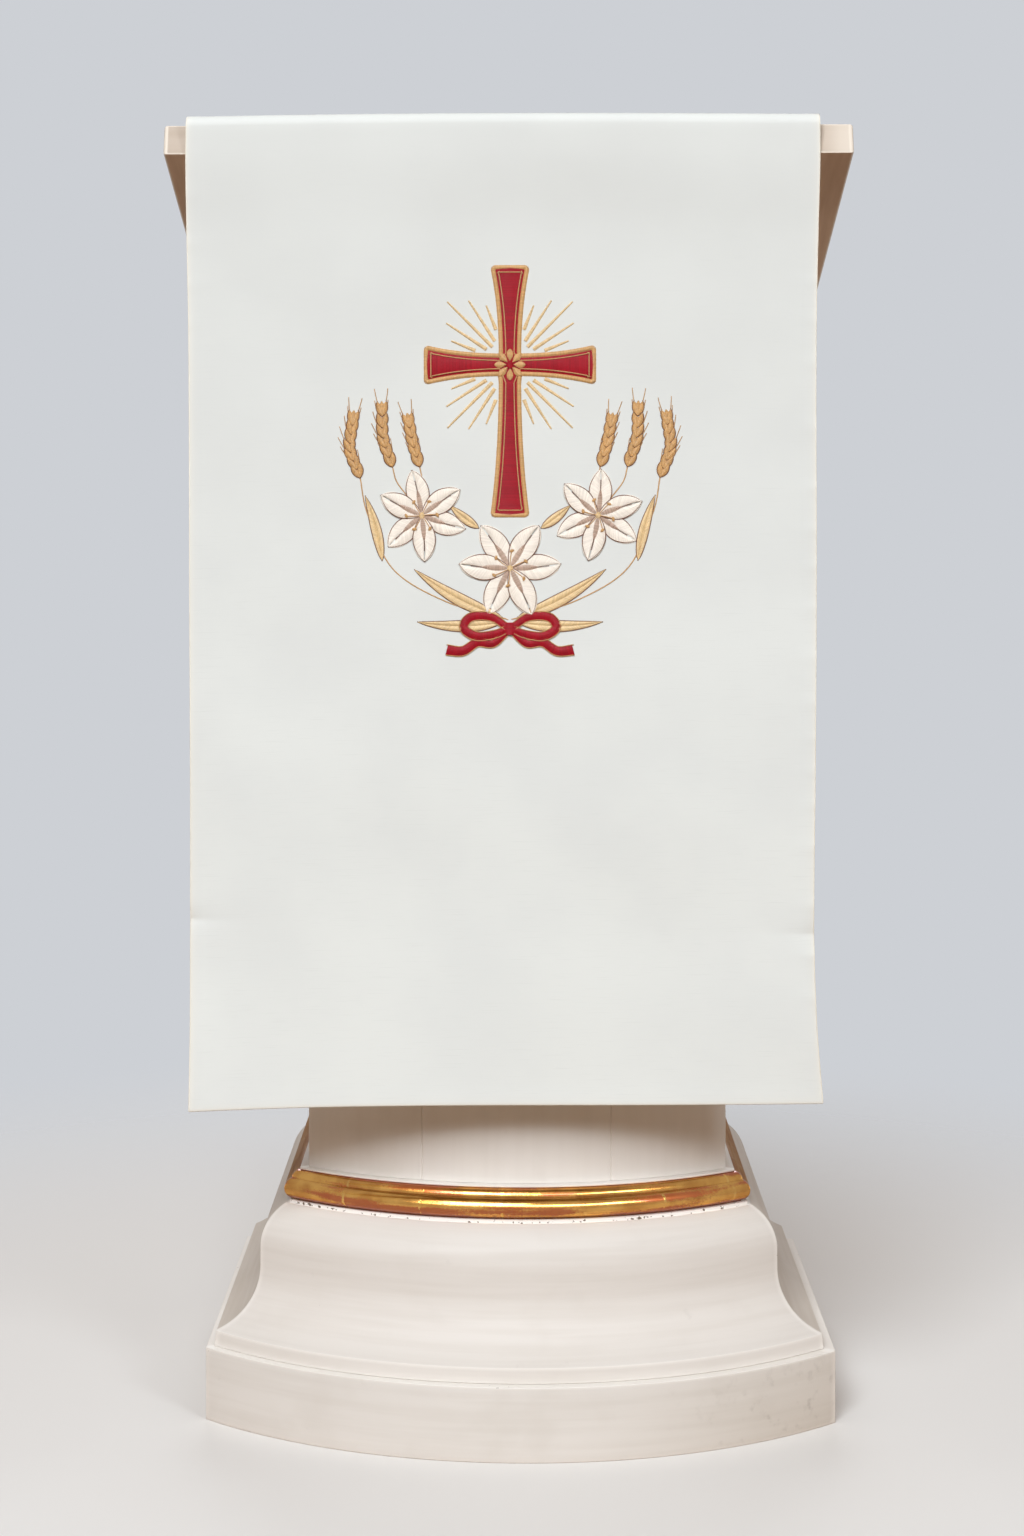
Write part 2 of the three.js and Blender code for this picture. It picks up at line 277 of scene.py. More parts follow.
# %% Colours, materials and node groups
def colour(red, green, blue):
    """A colour named on the 0 to 255 scale of a paint card, as the light that it gives back."""
    shares = np.array([red, green, blue]) / 255
    linear = np.where(shares <= 0.04045, shares / 12.92, ((shares + 0.055) / 1.055) ** 2.4)
    return (*linear.tolist(), 1.0)


def new_material(name, base, roughness, **sockets):
    """A material with a Principled shader, and the shader and the tree to build on."""
    material = bpy.data.materials.new(name)
    material.use_nodes = True
    tree = material.node_tree
    shader = tree.nodes["Principled BSDF"]
    shader.inputs["Base Color"].default_value = base
    shader.inputs["Roughness"].default_value = roughness
    for socket, value in sockets.items():
        shader.inputs[socket.replace("_", " ")].default_value = value
    return material, tree, shader


def dressed(tree, shader, base, roughness, height, strength, distance):
    """Joins a finish to its shader, its height as a bump. A roughness of None leaves the shader's own."""
    bump = add(tree, "ShaderNodeBump", {"Height": height, "Strength": strength, "Distance": distance})
    for value, socket in ((base, "Base Color"), (roughness, "Roughness"), (bump.outputs[0], "Normal")):
        if value is not None:
            tree.links.new(value, shader.inputs[socket])


def placed(tree, group, **amounts):
    """A shader node group put in a material with its own amounts."""
    node = add(tree, "ShaderNodeGroup", node_tree=group)
    for name, value in amounts.items():
        node.inputs[name].default_value = value
    return node.outputs


def finish_group(name, inputs):
    """A node group for a finish. Each input has a name, a kind and a starting value."""
    group = bpy.data.node_groups.new(name, "ShaderNodeTree")
    for socket, kind, start in inputs:
        made = group.interface.new_socket(socket, in_out="INPUT", socket_type="NodeSocket" + kind)
        made.default_value = start
    for socket, kind in (("Colour", "Color"), ("Roughness", "Float"), ("Height", "Float")):
        group.interface.new_socket(socket, in_out="OUTPUT", socket_type="NodeSocket" + kind)
    return group, add(group, "NodeGroupInput").outputs, add(group, "NodeGroupOutput").inputs


# %% [markdown]
# ## The pedestal
#
# A joiner builds such a pedestal from boards and mouldings. Every layer has the same plan: a bowed front
# between two straight sides. A layer is therefore only a profile, drawn as how far in it is and how high,
# and each point of the profile becomes one ring of the plan.

# %% Plan of a layer
PLAN = {"half_width": 0.305, "bow_radius": 0.455, "depth": 0.520}
BOW_STEPS = 72
EASED_EDGE = 0.0018
PEDESTAL_STEP_LEFT = 0.0015
KNOCKED = {"wide": 0.006, "wear": 0.6}
BED = 0.01  # how far in a profile starts on a face that the layer beside it hides


def front_corner(inset):
    """Where the bow of a layer meets its right side: how far out, and how far back."""
    half_width, radius = PLAN["half_width"] - inset, PLAN["bow_radius"] - inset
    return half_width, PLAN["bow_radius"] - math.sqrt(radius**2 - half_width**2)


def plan_outline(inset, grooves=()):
    """The plan of a layer from its left back corner. A groove is a place across, a width and a depth."""
    half_width, corner_y = front_corner(inset)
    radius = PLAN["bow_radius"] - inset
    reach = math.asin(half_width / radius)
    spots = [(angle, 0.0) for angle in np.linspace(-reach, reach, BOW_STEPS)]
    for across, width, depth in grooves:
        middle = math.asin(across / radius)
        edge = width / 2 / radius
        spots = [spot for spot in spots if abs(spot[0] - middle) > 2 * edge]
        spots += [(middle - edge, 0.0), (middle - edge / 3, depth),
                  (middle + edge / 3, depth), (middle + edge, 0.0)]
    if len(spots) % 2:
        spots.append(((spots[0][0] + spots[1][0]) / 2, 0.0))
    bow = []
    for angle, cut in sorted(spots):
        out = radius - cut
        bow.append((out * math.sin(angle), PLAN["bow_radius"] - out * math.cos(angle)))
    side = [(half_width, corner_y + KNOCKED["wide"]), (half_width, PLAN["depth"])]
    return eased([*((-x, y) for x, y in side[::-1]), *bow, *side], EASED_EDGE)


def layer(name, profile, steps_left):
    """A piece of the pedestal from its profile of inset, height and wear, from the bottom up.

    Its front corners are knocked, and its sides are marked for a painted shade.
    """
    rings, worn, side_shade = [], [], []
    for inset, height, wear in profile:
        outline = plan_outline(inset)
        x = MIDDLE_X - steps_left * PEDESTAL_STEP_LEFT + outline[:, 0]
        rings.append(np.stack([x, FRONT_Y + outline[:, 1], np.full(len(outline), height)], axis=1))
        corner_x, corner_y = front_corner(inset)
        to_corner = np.hypot(np.abs(outline[:, 0]) - corner_x, outline[:, 1] - corner_y)
        worn.append(np.maximum(wear, KNOCKED["wear"] * (to_corner < KNOCKED["wide"] / 2)))
        # The sides, behind the front corners, get a painted shade.
        side_shade.append(smooth(outline[:, 1] - corner_y, 0, KNOCKED["wide"]))
    piece = lofted(name, rings)
    mark(piece, "worn", np.concatenate(worn))
    mark(piece, "side_shade", np.concatenate(side_shade))
    return piece


def arc(radius, inset, height, bulge, low, high, steps, wear=(0, 0)):
    """Points of a moulding's round between two angles. At 0 a bulge is furthest out, a hollow furthest in."""
    angles = np.radians(np.linspace(low, high, steps))
    worn = np.linspace(*wear, steps)
    return [(inset - bulge * radius * math.cos(a), height + radius * math.sin(a), w)
            for a, w in zip(angles, worn)]


# %% [markdown]
# The plinth and the base moulding: a plain block, a band, a deep hollow called a cavetto, and a round called
# an ovolo that ends in the seat of the gilding. The third number of a point says how worn it is there; a worn
# edge is painted paler, which is partly wear and partly a painted highlight. The plinth is darker towards its
# right corner, which is painted shade, and shoes and brooms have smudged it there.

# %% Plinth and base moulding
PLINTH_TOP = 0.070
GAP = 0.0003
BAND = {"top": 0.085, "foot": 0.009, "head": 0.012}
CAVETTO = {"radius": 0.062, "height": 0.143}
OVOLO = {"radius": 0.0445, "height": 0.1615, "top": 0.201}
SEAT = {"top": 0.204, "inset": 0.080}
EASED_ARRIS = 0.0009

plinth = layer("plinth_block", eased(
    [(0.004, 0, 0), (0, 0, 0.5), (0, 0.005, 0), (0, PLINTH_TOP - 0.004, 0), (0, PLINTH_TOP, 0.6),
     (0.03, PLINTH_TOP, 0)], EASED_ARRIS, closed=False,
), 0)
plinth_x, _, plinth_z = points_of(plinth).T
# Towards the right corner the plinth is painted darker, which is painted shade, and smudged.
mark(plinth, "scuffs_and_shade", smooth(plinth_x - MIDDLE_X, 0.02, 0.30) * (1 - 0.5 * smooth(plinth_z, 0, PLINTH_TOP)))

cavetto_start = math.degrees(math.asin((BAND["top"] - CAVETTO["height"]) / CAVETTO["radius"]))
cavetto_inset = BAND["head"] - CAVETTO["radius"] * math.cos(math.radians(cavetto_start))
waist = cavetto_inset + CAVETTO["radius"]
ovolo_end = math.degrees(math.asin((OVOLO["top"] - OVOLO["height"]) / OVOLO["radius"]))
base_profile = [
    (BAND["foot"] + BED, PLINTH_TOP + GAP, 0),
    (BAND["foot"], PLINTH_TOP + GAP, 0.4),
    (BAND["foot"] + 0.0008, PLINTH_TOP + 0.004, 0),
    (BAND["head"] - 0.0018, BAND["top"] - 0.004, 0.1),
    (BAND["head"] - 0.001, BAND["top"] - 0.0005, 0.6),
    *arc(CAVETTO["radius"], cavetto_inset, CAVETTO["height"], -1, cavetto_start, 0, 18),
    *arc(OVOLO["radius"], waist + OVOLO["radius"], OVOLO["height"], 1, 0, ovolo_end, 16)[1:],
    (SEAT["inset"] - 0.0002, OVOLO["top"] + 0.0002, 0.97),
    (SEAT["inset"], SEAT["top"], 0.85),
    (SEAT["inset"] + 0.03, SEAT["top"], 0),
]
base = layer("base_hollow_and_round", eased(base_profile, EASED_ARRIS, closed=False), 1)

# %% [markdown]
# The gilt moulding is a torus with a small bead above it. It is turned to a finer step than the wood,
# because polished leaf shows every flat. It has been wiped most to the left of the middle.

# %% Gilt moulding, neck and shaft
TORUS = {"radius": 0.010, "inset": 0.086, "height": 0.2153, "foot": 0.085, "low": -75, "high": 62}
BEAD = {"radius": 0.007, "inset": 0.0904, "height": 0.2252, "low": 0, "high": 85}
NECK = {"top": 0.2345, "inset": 0.091}
SHAFT_INSET = 0.0994
PANEL_JOINTS = (-0.092, 0.091)
JOINT_WIDTH = 0.0011
JOINT_DEPTH = 0.0010
SHAFT_RINGS = 24
WIPED = {"across": -0.125, "wide": 0.075}

gilding_profile = [
    (TORUS["foot"] + BED, SEAT["top"] + GAP, 0),
    (TORUS["foot"], SEAT["top"] + GAP, 1.0),
    *arc(TORUS["radius"], TORUS["inset"], TORUS["height"], 1, TORUS["low"], TORUS["high"], 22, (1.0, 0)),
    *arc(BEAD["radius"], BEAD["inset"], BEAD["height"], 1, BEAD["low"], BEAD["high"], 12, (0.2, 0.6)),
    (BEAD["inset"] + BED, BEAD["height"] + BEAD["radius"], 0),
]
gilding = layer("gilt_torus_and_bead", gilding_profile, 2)
from_wiped = points_of(gilding)[:, 0] - MIDDLE_X - WIPED["across"]
mark(gilding, "wiped", np.exp(-((from_wiped / WIPED["wide"]) ** 2)))

neck_foot = BEAD["height"] + BEAD["radius"] + GAP
neck = layer("neck_fillet_painted", eased(
    [(NECK["inset"] + BED, neck_foot, 0), (NECK["inset"], neck_foot, 0.6), (NECK["inset"], NECK["top"], 0.3),
     (NECK["inset"] + 0.02, NECK["top"], 0)], 0.0008, closed=False,
), 2)

# %% [markdown]
# ## The desk
#
# The desk board slopes down towards the reader. Two directions describe everything on it: down the slope,
# and square off the board. The shaft stops just under the board, so its top slopes as well.

# %% Slope of the desk
DESK = {
    "width": 0.653, "length": 0.500, "thickness": 0.030, "slope": math.radians(18.5),
    "edge_height": 1.248, "edge_back": 0.060, "left": 0.0115,
}
DOWN_SLOPE = np.array([0, math.cos(DESK["slope"]), -math.sin(DESK["slope"])])
OFF_BOARD = np.array([0, math.sin(DESK["slope"]), math.cos(DESK["slope"])])
HIGH_EDGE = np.array([MIDDLE_X - DESK["left"], FRONT_Y + DESK["edge_back"], DESK["edge_height"]])


def over_desk(distance, height):
    """A point over the middle of the board: so far down the slope from the high edge, and so far off it."""
    return HIGH_EDGE + np.multiply.outer(distance, DOWN_SLOPE) + np.multiply.outer(height, OFF_BOARD)


# %% Shaft, with the joints between its boards
shaft_outline = plan_outline(SHAFT_INSET, [(across, JOINT_WIDTH, JOINT_DEPTH) for across in PANEL_JOINTS])
shaft_x = MIDDLE_X - 2 * PEDESTAL_STEP_LEFT + shaft_outline[:, 0]
shaft_y = FRONT_Y + shaft_outline[:, 1]
under_edge = over_desk(0, -DESK["thickness"])
shaft_top = under_edge[2] - (shaft_y - under_edge[1]) * math.tan(DESK["slope"]) - GAP
shaft_foot = NECK["top"] + GAP
shaft = lofted("shaft_boards", [
    np.stack([shaft_x, shaft_y, shaft_foot + (shaft_top - shaft_foot) * share], axis=1)
    for share in np.linspace(0, 1, SHAFT_RINGS)
])
mark(shaft, "worn", np.zeros(len(shaft.data.vertices)))

# %% [markdown]
# The desk board is a plain slab. Its arrises are painted pale, which is a painted highlight, and its right
# end paler still, which is painted light. Each point of its section also says how worn it is, and that mark
# sets both the pale and a few chips.

# %% Desk board
BOARD_EDGE = 0.0030
ARRIS_HIGHLIGHT_BAND = 0.0018
PAINTED_LIGHT_END = 0.045


def board_section(inset):
    """The board's section, set in all round: how far down the slope, how far off the board, and how worn,
    which on its arrises is mostly a painted highlight.
    """
    low, high = -DESK["thickness"] + inset, -inset
    near, far = inset, DESK["length"] - inset
    corners = np.array([(near, low), (far, low), (far, high), (near, high)])
    outline = []
    for index, corner in enumerate(corners):
        for other in (corners[index - 1], corner, corners[(index + 1) % 4]):
            way = np.sign(other - corner)
            outline.append((*(corner + ARRIS_HIGHLIGHT_BAND * way), float(not way.any())))
    return eased(outline, BOARD_EDGE, steps=6)


half_board = DESK["width"] / 2
inside = half_board - BOARD_EDGE - ARRIS_HIGHLIGHT_BAND
rounding = [(BOARD_EDGE * (1 - math.sin(a)), BOARD_EDGE * (1 - math.cos(a)))
            for a in np.radians([90, 66, 42, 18, 0])]
left_end = [(-half_board, BOARD_EDGE + ARRIS_HIGHLIGHT_BAND, 0.0)]
left_end += [(out - half_board, inset, 1.0) for out, inset in rounding]
spots = sorted({*np.linspace(-inside, inside, 24), *np.linspace(half_board - PAINTED_LIGHT_END, inside, 6)})
right_end = [(-x, inset, worn) for x, inset, worn in left_end[::-1]]
stations = left_end + [(x, 0.0, 0.0) for x in spots] + right_end
board_rings, board_wear_and_highlight = [], []
for x, inset, worn in stations:
    section = board_section(inset)
    board_rings.append(over_desk(section[:, 0], section[:, 1]) + np.array([x, 0, 0]))
    # The right end is painted paler: painted light.
    painted_tone = 0.5 * smooth(x, half_board - PAINTED_LIGHT_END, inside)
    board_wear_and_highlight.append(np.maximum(section[:, 2], max(worn, painted_tone)))
board = lofted("desk_board_painted", board_rings)
mark(board, "worn", np.concatenate(board_wear_and_highlight))

# %% [markdown]
# ## The cover
#
# The cloth has an interlining, so it is stiff: it turns over an edge on a radius, and hangs nearly plumb.
# Its path is drawn from the side first, from the rear hem over the desk to the front hem. Each station
# also says how far down the front fall it is, how much of the sideways sag it has, and how free it hangs.

# %% Path of the cloth
CLOTH = {
    "thickness": 0.002, "clearance": 0.002, "left": 0.0055, "front_bend": 0.010, "front_crown": 0.0108,
    "rear_bend": 0.008, "lift": 0.070, "front_fall": 0.936, "rear_fall": 0.250,
}
CREASE = {
    "left": 0.757, "right": 0.776, "depth": 0.0028, "half_width": 0.011, "margin": 0.02, "spread": 18,
    "at_edges": 0.8, "between": 0.05, "broad": 0.75, "sharp": 0.25, "sharpness": 9,
}
HALF_CLOTH = CLOTH["thickness"] / 2
PLUMB_Y = over_desk(0, -DESK["thickness"])[1] - CLOTH["clearance"] - HALF_CLOTH
CROWN_Z = DESK["edge_height"] + CLOTH["front_crown"] - HALF_CLOTH
COVER_X = HIGH_EDGE[0] - CLOTH["left"]
PATH_STEP = 0.0045
CREASE_STEP = 0.0015
BEND_STEPS = {"rear": 8, "board": 64, "front": 20}
HANGS_FREE = (0.02, 0.10)  # how far down the front fall it starts to hang free, and is free
REAR_HANGS_FREE = 0.06


def cover_path():
    """Stations of the cloth, as columns y, z, drop, sag and free."""
    low_edge = over_desk(DESK["length"], 0)
    bend = CLOTH["rear_bend"]
    made = []
    for height in np.arange(-CLOTH["rear_fall"], 0, 2 * PATH_STEP):
        made.append((low_edge[1] + bend, low_edge[2] + height, 0, 0, smooth(-height, 0, REAR_HANGS_FREE)))
    for angle in np.linspace(0, math.pi / 2 - DESK["slope"], BEND_STEPS["rear"]):
        made.append((low_edge[1] + bend * math.cos(angle), low_edge[2] + bend * math.sin(angle), 0, 0, 0))

    radius = CLOTH["front_bend"]
    centre = np.array([0, PLUMB_Y + radius, CROWN_Z - radius])
    from_edge = centre - HIGH_EDGE * np.array([0, 1, 1])
    lift_end, lift = from_edge @ DOWN_SLOPE, from_edge @ OFF_BOARD + radius
    lie = GAP + HALF_CLOTH
    for distance in np.linspace(DESK["length"], lift_end, BEND_STEPS["board"])[1:-1]:
        near_front = 1 - smooth(distance, lift_end, lift_end + CLOTH["lift"])
        near_rear = smooth(distance, DESK["length"] - CLOTH["lift"], DESK["length"])
        place = over_desk(distance, lie + (lift - lie) * near_front + (bend - lie) * near_rear)
        made.append((place[1], place[2], 0, near_front, 0))

    for angle in np.linspace(math.pi / 2 - DESK["slope"], math.pi, BEND_STEPS["front"]):
        made.append((centre[1] + radius * math.cos(angle), centre[2] + radius * math.sin(angle), 0, 1, 0))
    drop = radius
    while drop < CLOTH["front_fall"] - 1e-6:
        near_crease = CREASE["left"] - CREASE["margin"] < drop < CREASE["right"] + CREASE["margin"]
        drop = min(drop + (CREASE_STEP if near_crease else PATH_STEP), CLOTH["front_fall"])
        made.append((PLUMB_Y, CROWN_Z - drop, drop, 1, smooth(drop, *HANGS_FREE)))
    return np.array(made)


cloth_path = cover_path()
way_along = ways(cloth_path[:, :2])
CLOTH_LENGTH = float(np.linalg.norm(np.diff(cloth_path[:, :2], axis=0), axis=1).sum())
print("The cloth is", round(CLOTH_LENGTH, 3), "long, in", len(cloth_path), "stations")

# %% [markdown]
# The front fall isn't a flat rectangle. A short table says, at a few places down it, how far its two edges
# are from the middle, and how far the cloth stands forward of plumb at the edges and between.

# %% Shape of the front fall
FALL = {
    "drop": (0.010, 0.045, 0.110, 0.220, 0.450, 0.620, 0.768, 0.860, 0.936),
    "left": (0.2990, 0.2993, 0.2985, 0.2965, 0.2955, 0.2946, 0.2946, 0.2944, 0.2950),
    "right": (0.2995, 0.2995, 0.2980, 0.2960, 0.2960, 0.2950, 0.2939, 0.2964, 0.3024),
    "left_forward": (0, 0, -0.0015, -0.0005, 0.001, 0.002, 0.001, 0.006, 0.012),
    "middle_forward": (0, 0, -0.003, -0.003, 0, 0.001, -0.001, 0.001, 0.003),
    "right_forward": (0, 0, -0.002, -0.001, 0.0015, 0.002, -0.001, 0, 0),
}
SAG = {"left": (0.0028, 0.0055), "right": (0.0016, -0.002)}


def along_fall(column, drop):
    """A column of the table at a place down the fall, on a smooth curve through its rows."""
    drops, values = np.array(FALL["drop"]), np.array(FALL[column], float)
    row = np.clip(np.searchsorted(drops, drop, side="right") - 1, 0, len(drops) - 2)
    before, after = np.maximum(row - 1, 0), np.minimum(row + 2, len(drops) - 1)
    length = drops[row + 1] - drops[row]
    slope_in = (values[row + 1] - values[before]) / (drops[row + 1] - drops[before])
    slope_out = (values[after] - values[row]) / (drops[after] - drops[row])
    t = np.clip((drop - drops[row]) / length, 0, 1)
    return (values[row] * (1 + 2 * t) * (1 - t) ** 2 + slope_in * length * t * (1 - t) ** 2
            + values[row + 1] * (3 - 2 * t) * t**2 - slope_out * length * (1 - t) * t**2)


# %% [markdown]
# Three small things keep it from looking like a board: wide, faint waves where the interlining has eased;
# the fold kept from storage, a trough that is deep at the two edges and lost between them; and puckers
# where the side hems draw the cloth in.

# %% Waves, fold and puckers
WAVES = (
    # (waves across per metre, waves down per metre, phase, height)
    (2.1, 1.3, 0.4, 0.00055),
    (-3.4, 2.2, 1.9, 0.00040),
    (5.2, 3.1, 4.1, 0.00022),
    (1.2, 6.3, 2.7, 0.00022),
)
PUCKER = {"pitch": 0.042, "height": 0.0007, "reach": 0.010, "wander": ((0.35, 11, 0), (0.2, 29, 1))}
# Each hem's share of puckers, and how far down the fall they begin, are full, begin to fade, and end.
PUCKERED = {"left": (0.8, 0.03, 0.06, 0.17, 0.24), "right": (1.0, 0.10, 0.16, 0.84, 0.90)}


def waves(x, z):
    """How far the eased interlining pushes the cloth forward."""
    total = 0.0
    for across, down, phase, height in WAVES:
        total = total + height * np.sin(2 * math.pi * (across * x + down * z) + phase)
    return total


def fold(drop, across):
    """How deep the fold from storage is. It lies a little aslant."""
    fold_drop = CREASE["left"] + (CREASE["right"] - CREASE["left"]) * (across + 1) / 2
    off = np.abs(drop - fold_drop) / CREASE["half_width"]
    broad, sharp = np.exp(-(off**2)), np.exp(-(off**2) * CREASE["sharpness"])
    near_edge = np.abs(across) ** CREASE["spread"]
    depth = CREASE["depth"] * (CREASE["at_edges"] * near_edge + CREASE["between"] * np.abs(across) ** 3)
    return depth * (CREASE["broad"] * broad + CREASE["sharp"] * sharp)


def puckers(drop, across, half_width):
    """How far the hem's gathers push the cloth forward: along the whole right hem, and high on the left."""
    from_edge = (1 - np.abs(across)) * half_width
    turns = drop / PUCKER["pitch"]
    for share, pace, phase in PUCKER["wander"]:
        turns = turns + share * np.sin(drop * pace + phase)
    gather = np.maximum(np.cos(2 * math.pi * turns), 0) ** 3
    shares = []
    for share, begin, full, fade, end in PUCKERED.values():
        shares.append(share * smooth(drop, begin, full) * (1 - smooth(drop, fade, end)))
    return PUCKER["height"] * gather * np.exp(-from_edge / PUCKER["reach"]) * np.where(across < 0, *shares)


def cover_points(stations, across):
    """Points in the middle of the cloth's thickness. across runs from -1, the left edge, to 1, the right."""
    y, z, drop, sag, free = (stations[..., k] for k in range(5))
    drop = np.maximum(drop, FALL["drop"][0])

    def by_side(column):
        return np.where(across < 0, along_fall("left" + column, drop), along_fall("right" + column, drop))

    half_width, edge_forward = by_side("") - HALF_CLOTH, by_side("_forward")
    middle_forward = along_fall("middle_forward", drop)
    sag_above, sag_below = (np.where(across < 0, *pair) for pair in zip(SAG["left"], SAG["right"]))
    down = drop / CLOTH["front_fall"]
    x = COVER_X + across * half_width
    forward = middle_forward + (edge_forward - middle_forward) * across**2
    forward = forward + free * (waves(x, z) + puckers(drop, across, half_width)) - fold(drop, across)
    fallen = sag * (sag_above + (sag_below - sag_above) * down) * across**2
    return np.stack([x, y - forward, z - fallen], axis=-1)


# %% [markdown]
# The cloth is closed like a real one: a face, a lining, and rounded edges where both are turned in. The
# turned edge makes the hem a little thicker than the rest, and that step shows as a faint line.

# %% Cloth with its hems
HEM = {"width": 0.014, "extra": 0.00022, "soft": 0.003}
HEM_COLUMNS = (0, 0.0015, 0.003, 0.005, 0.008, 0.0105, 0.0125, 0.0145, 0.017, 0.021, 0.026)
INNER_COLUMNS = 98
NOMINAL_HALF = 0.298
RIM = (math.radians(22.5), math.radians(67.5))
TURNED_IN = np.radians([35, 65, 85])
from_left = np.array(HEM_COLUMNS) / NOMINAL_HALF - 1
inner = np.linspace(from_left[-1], -from_left[-1], INNER_COLUMNS)[1:-1]
cloth_columns = np.concatenate([from_left, inner, -from_left[::-1]])


def hem_thickness(across_metres, along_metres, along_end):
    """Half the cloth's thickness: more within a hem's width of an edge."""
    to_edge = np.minimum(across_metres, np.minimum(along_metres, along_end - along_metres))
    return HALF_CLOTH + HEM["extra"] * (1 - smooth(to_edge, HEM["width"] - HEM["soft"], HEM["width"]))


def sheet_rings(middle, half):
    """Closed rings round a sheet: over its face from left to right, and back under it."""
    along, across = np.gradient(middle, axis=0), np.gradient(middle, axis=1)
    out, side = unit(np.cross(along, across)), unit(across)
    half = half[..., None]

    def edge(column, sign, angle):
        rim = sign * side[:, column] * math.cos(angle) + out[:, column] * math.sin(angle)
        return (middle[:, column] + half[:, column] * rim)[:, None]

    low, high = RIM
    face, lining = middle + out * half, middle - out * half
    over = [edge(0, -1, low), edge(0, -1, high), face, edge(-1, 1, high), edge(-1, 1, low)]
    under = [edge(-1, 1, -low), edge(-1, 1, -high), lining[:, ::-1], edge(0, -1, -high), edge(0, -1, -low)]
    return np.concatenate(over + under, axis=1)


grid = cover_points(cloth_path[:, None, :], cloth_columns[None, :])
to_side = (1 - np.abs(cloth_columns)) * NOMINAL_HALF
thickness = hem_thickness(to_side[None, :], way_along[:, None], way_along[-1])
for end, inward in ((0, 1), (-1, -2)):
    way_out = unit(grid[end] - grid[inward])
    rows = [grid[end] + way_out * thickness[end][:, None] * (math.sin(a) - 1) for a in TURNED_IN]
    thin = [thickness[end] * math.cos(a) for a in TURNED_IN]
    grid[end] -= way_out * thickness[end][:, None]
    if end == 0:
        grid = np.concatenate([np.array(rows[::-1]), grid])
        thickness = np.concatenate([np.array(thin[::-1]), thickness])
    else:
        grid = np.concatenate([grid, np.array(rows)])
        thickness = np.concatenate([thickness, np.array(thin)])
cloth = lofted("cover", sheet_rings(grid, thickness))

# %% [markdown]
# The lining is a warm ivory, a little lighter than the face. It is turned over the edge and coloured there,
# and the face is paled for the last few millimetres: this fine pale line all round is a painted highlight of
# light catching the edges.

# %% Mark the lining and the painted edge highlight
EDGE_HIGHLIGHT = {"reach": 0.0025, "share": 0.45}
to_hem = np.minimum(way_along, way_along[-1] - way_along)
to_hem = np.concatenate([np.zeros(len(TURNED_IN)), to_hem, np.zeros(len(TURNED_IN))])
# Painted highlight: the face is paled next to its edges.
face_edge_highlight = EDGE_HIGHLIGHT["share"] * np.exp(-np.minimum(to_side[None, :], to_hem[:, None]) / EDGE_HIGHLIGHT["reach"])
lining = np.ones_like(face_edge_highlight)
rim = lining[:, :2]
mark(cloth, "lining", np.concatenate([rim, face_edge_highlight, rim, rim, lining, rim], axis=1))

# %% [markdown]
# ## The embroidery
#
# Everything sewn on the cover is one thing, done thousands of times: a thread comes up through the cloth,
# lies over it in a low arch and goes down again. Laid side by side across a shape it is satin stitch; laid
# almost along a line, each one starting beside the last, it is stem stitch. Arches modelled by hand would
# take weeks, so a geometry node tree lays them along drawn paths. A path says how wide the stitches are,
# how they are turned and how high they rise, and the tree does the rest.

